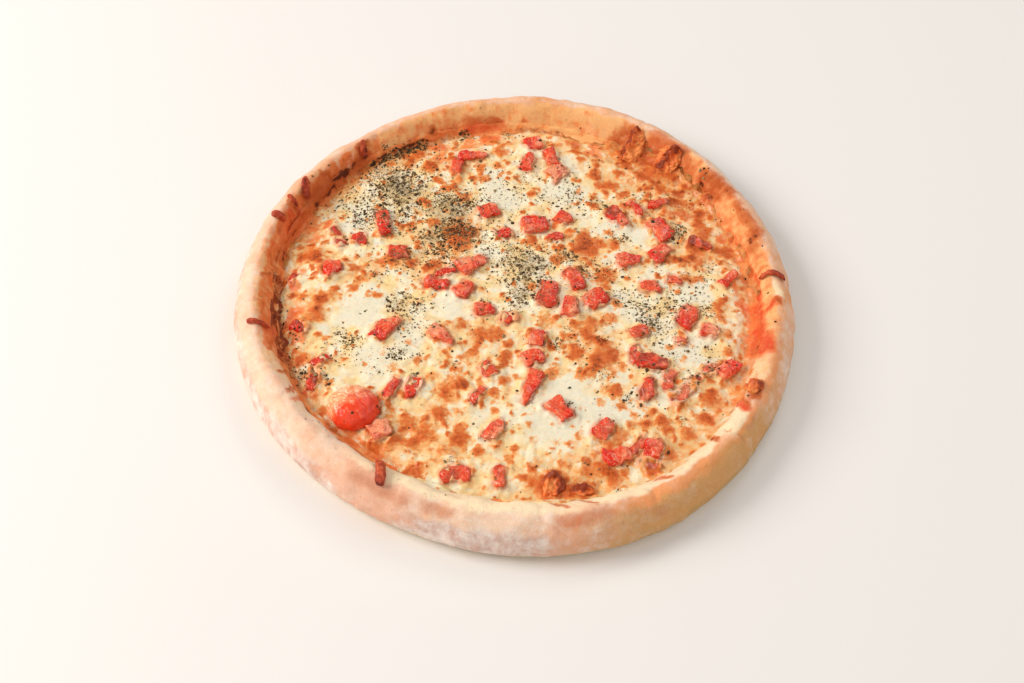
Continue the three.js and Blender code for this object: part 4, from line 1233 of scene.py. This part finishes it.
cheese = makeCheese()
dress(cheese, cheeseRecipe(), "cheese", "cheese")
print("cheese:", len(cheese.data.polygons), "faces")


# Dried herbs.

herbLook = {
    "dark": paint(66, 50, 32), "olive": paint(112, 88, 56), "pale": paint(166, 142, 100),
    "rust": paint(112, 66, 36),
    # how plentiful in all, the share of tiny flakes, how thick a flake is above and below, and its lift
    "plenty": 1.35, "tinyShare": 0.66, "above": 0.16, "below": 0.12, "lift": 0.25,
    # length of a tiny flake and of a large one: least, how much more, and how much more on a few
    "tinyLength": (0.4, 0.3), "largeLength": (0.65, 0.6, 1.3),
    # heaps: [x, y, radius, how many]
    "heaps": [
        [-62, 68, 12, 340], [-66, 74, 10, 160], [-56, 74, 9, 140],
        [-68, 89, 2.6, 70], [-63, 91.5, 2.6, 70], [-57, 95, 2.6, 60], [-51, 98, 2.4, 40],
        [-78, 60, 11, 130], [-68, 58, 10, 150],
        [-73, 44, 7, 160], [-82, 50, 8, 50], [-58, 43, 8, 150], [-55, 60, 11, 190], [-46, 48, 10, 120],
        [-45, 72, 9, 50], [-35, 41, 6, 200], [-31, 38, 9, 230], [-23, 38, 6, 130], [-33, 56, 7, 180],
        [-40, 62, 4, 70], [-43, 32, 7, 150], [-36, 29, 7, 90], [-28, 62, 8, 90], [-22, 58, 7, 50],
        [-38, 20, 8, 70], [-52, 20, 8, 60], [-64, 13, 7, 40], [-28, 22, 6, 30], [-16, 36, 7, 60],
        [-9, 26, 8, 110], [-6, 16, 8, 120], [2, 25, 9, 160], [8, 17, 8, 130], [3, 9, 9, 150],
        [1, 1, 7, 110], [10, 8, 7, 40], [-3, -6, 6, 36], [14, 28, 7, 50], [22, 26, 4, 70],
        [37, 20, 7, 50], [29, 19, 2.5, 30], [47, 4, 6, 60], [45, 40, 4, 34], [49, 39, 2.5, 22],
        [37, 62, 5, 44], [40, 60, 1.6, 22], [22, 65, 6, 60], [12, 62, 6, 26], [4, 72, 8, 60],
        [20, 74, 9, 40], [28, 59, 5, 24], [58, 68, 5, 26], [74, 47, 4, 90], [73, 41, 4, 40],
        [60, -11, 2.5, 36], [63, -6, 9, 150], [56, -3, 8, 60], [72, 2, 7, 60], [64, -18, 7, 60],
        [80, 3, 8, 50], [86, -3, 4, 40], [84, 17, 6, 40], [88, 24, 4, 24], [66, 24, 6, 26],
        [-53, -7, 7, 130], [-50, -14, 8, 70], [-42, -5, 5, 40], [-48, -24, 6, 30], [-53, -36, 3.5, 60],
        [-48, -34, 6, 30], [-72, -30, 5, 60], [-79, -25, 4, 30], [-77, -35, 8, 50], [-62, -40, 9, 30],
        [-93, -49, 6, 90], [-83, -52, 4, 30], [-97, -29, 5, 34], [-40, -22, 3, 14], [-27, -40, 2, 12],
        [-25, -91, 2.5, 16], [-16, -12, 3, 18], [-15, -4, 2.5, 18], [-44, -47, 1.5, 12],
        [17, -26, 3.5, 30], [28, -24, 4, 16], [23, -17, 3, 14], [39, -43, 4, 22], [30, -37, 5, 16],
        [50, -54, 4, 22], [71, -28, 4, 20], [85, -27, 6, 30], [86, -37, 3.5, 30], [78, -42, 5, 36],
        [60, -41, 4, 20], [38, -23, 2.5, 22], [-10, 70, 12, 70], [-14, 84, 12, 40], [-8, 108, 3, 16],
        [-32, 107, 2.5, 22], [88, 78, 3, 12], [-17, 50, 5, 20], [23, -60, 2.5, 20], [72, -64, 2.5, 10],
        [0, 0, 106, 640], [-45, 50, 40, 420], [10, 30, 40, 260], [20, 60, 34, 80],
        [62, 0, 30, 140], [50, -40, 30, 60], [-20, -30, 34, 50],
    ],
    # along the foot of the rim: [from, to in degrees, even radius, spread, how many]
    "arcs": [
        [116, 133, 110, 0.5, 220], [99, 134, 107.5, 2.4, 110], [134, 160, 107, 3, 50], [178, 208, 107, 2, 50],
        [60, 99, 108, 2.5, 26], [-40, 40, 107, 3, 26]],
}


def flakeShape(draw):
    # a bit of dried leaf: a thin, bent, uneven lens of eight or twelve triangles
    look = herbLook
    if draw.random() < look["tinyShare"]:
        sides = 4
        least, more = look["tinyLength"]
        length = least + more * draw.random()
    else:
        sides = 6
        least, more, rare = look["largeLength"]
        length = least + more * draw.random() + rare * draw.random() ** 5
    width = length * draw.uniform(0.45, 0.95)
    ring = []
    for i in range(sides):
        angle = 2 * math.pi * i / sides
        reach = draw.uniform(0.75, 1.15)
        ring.append([length / 2 * reach * math.cos(angle), width / 2 * reach * math.sin(angle), 0])
    bend = draw.uniform(-0.35, 0.35)
    places = np.array([*ring, [0, 0, look["above"]], [0, 0, -look["below"]]])
    places[:, 2] += bend * (places[:, 0] / length) ** 2 * length
    faces = [[i, (i + 1) % sides, sides] for i in range(sides)]
    faces += [[(i + 1) % sides, i, sides + 1] for i in range(sides)]
    return places, faces


def herbPlaces(draw):
    places = []
    for x, y, radius, count in herbLook["heaps"]:
        for _ in range(round(count * herbLook["plenty"])):
            away = 1.12 * radius * draw.random() ** 0.55
            angle = draw.random() * 2 * math.pi
            places.append((x + away * math.cos(angle), y + away * math.sin(angle), 1))
    for start, end, radius, spread, count in herbLook["arcs"]:
        for _ in range(count):
            angle = math.radians(draw.uniform(start, end))
            away = float(toUneven(np.array(draw.gauss(radius, spread)), angle))
            places.append((away * math.cos(angle), away * math.sin(angle), 0.4))
    return [(x + offCentre[0], y + offCentre[1], paleness) for x, y, paleness in places]


def makeHerbs():
    draw = random.Random(17)
    top = surfaceOf(cheese, *tomatoPieces, bits, cherry, crust)
    corners, faces, tints = [], [], []
    for x, y, paleness in herbPlaces(draw):
        place, normal = lookDown(top, x, y)
        if place is None:
            continue
        flake, sides = flakeShape(draw)
        lay = normal + Vector((draw.gauss(0, 0.25), draw.gauss(0, 0.25), 0))
        turn = lay.to_track_quat("Z", "Y").to_matrix()
        spin = draw.random() * 2 * math.pi
        spun = flake @ np.array([[math.cos(spin), math.sin(spin), 0],
                                 [-math.sin(spin), math.cos(spin), 0], [0, 0, 1]])
        laid = spun @ np.array(turn).T + np.array(place) + [0, 0, draw.uniform(0, herbLook["lift"])]
        first = len(corners)
        corners += laid.tolist()
        faces += [[first + i for i in side] for side in sides]
        tints += [paleness * draw.random()] * len(flake)
    piece = meshPiece("herb_flakes", corners, faces)
    writeMasks(piece, tint=np.array(tints))
    return piece


def herbRecipe():
    recipe = Recipe("herbs", herbLook, Roughness=0.75, Specular_IOR_Level=0.2)
    tint = recipe.mask("tint")
    colour = recipe.cover("dark", [tint.between(0.1, 0.5), "olive"], [tint.between(0.5, 0.85), "pale"],
                          [tint.between(0.88, 0.94), "rust"])
    recipe.coat(Base_Color=colour, Normal=recipe.relief(recipe.grain(0.4, 2), 0.1, 0.5))
    return recipe


herbs = makeHerbs()
dress(herbs, herbRecipe(), "herb")
print("herb flakes:", len(herbs.data.polygons), "faces")


# Floor, light and camera.

studio = {
    "target": (-0.77, -17.8, 0), "distance": 646.5, "elevation": 51.3, "roll": 2.73, "lens": 50,
    "floorSize": 6, "floorPaint": paint(240, 236, 232),
    "ambient": 0.355, "ambientColour": (1, 0.985, 0.96, 1),
    # lamps: place in metres, size, power, colour
    "lamps": [[(-1.3, 0.05, 0.95), 0.8, 21.2, (1.0, 0.955, 0.9)],
              [(-0.5, -1.3, 0.9), 1.2, 5, (1.0, 0.97, 0.94)],
              [(0.5, 1.1, 1.2), 0.6, 4, (1.0, 0.98, 0.95)],
              [(1.1, 0.1, 1.0), 1.0, 3.7, (1.0, 0.98, 0.96)]],
}


def makeFloor():
    bpy.ops.object.select_all(action="DESELECT")
    bpy.ops.mesh.primitive_plane_add(size=studio["floorSize"])
    floor = bpy.context.object
    floor.name = "floor"
    recipe = Recipe("floor", studio, Base_Color=studio["floorPaint"], Roughness=0.6)
    floor.data.materials.append(recipe.material)


def makeLights():
    world = bpy.data.worlds.new("studio")
    world.use_nodes = True
    background = world.node_tree.nodes["Background"]
    background.inputs["Color"].default_value = studio["ambientColour"]
    background.inputs["Strength"].default_value = studio["ambient"]
    bpy.context.scene.world = world
    for number, (place, size, power, colour) in enumerate(studio["lamps"]):
        bpy.ops.object.light_add(type="AREA", location=place)
        lamp = bpy.context.object
        lamp.name = f"lamp_{number}"
        lamp.data.size = size
        lamp.data.energy = power
        lamp.data.color = colour
        lamp.rotation_euler = (-Vector(place)).to_track_quat("-Z", "Y").to_euler()


def makeCamera():
    tilt = math.radians(studio["elevation"])
    back = Vector((0, -math.cos(tilt), math.sin(tilt)))
    target = Vector(studio["target"]) / perMetre
    bpy.ops.object.camera_add(location=target + back * studio["distance"] / perMetre)
    camera = bpy.context.object
    camera.rotation_mode = "QUATERNION"
    camera.rotation_quaternion = back.to_track_quat("Z", "Y")
    roll = Quaternion((0, 0, 1), math.radians(studio["roll"]))
    camera.rotation_quaternion = camera.rotation_quaternion @ roll
    camera.data.lens = studio["lens"]
    camera.data.sensor_width = 36
    bpy.context.scene.camera = camera


makeFloor()
makeLights()
makeCamera()
bpy.context.scene.view_settings.view_transform = "Standard"
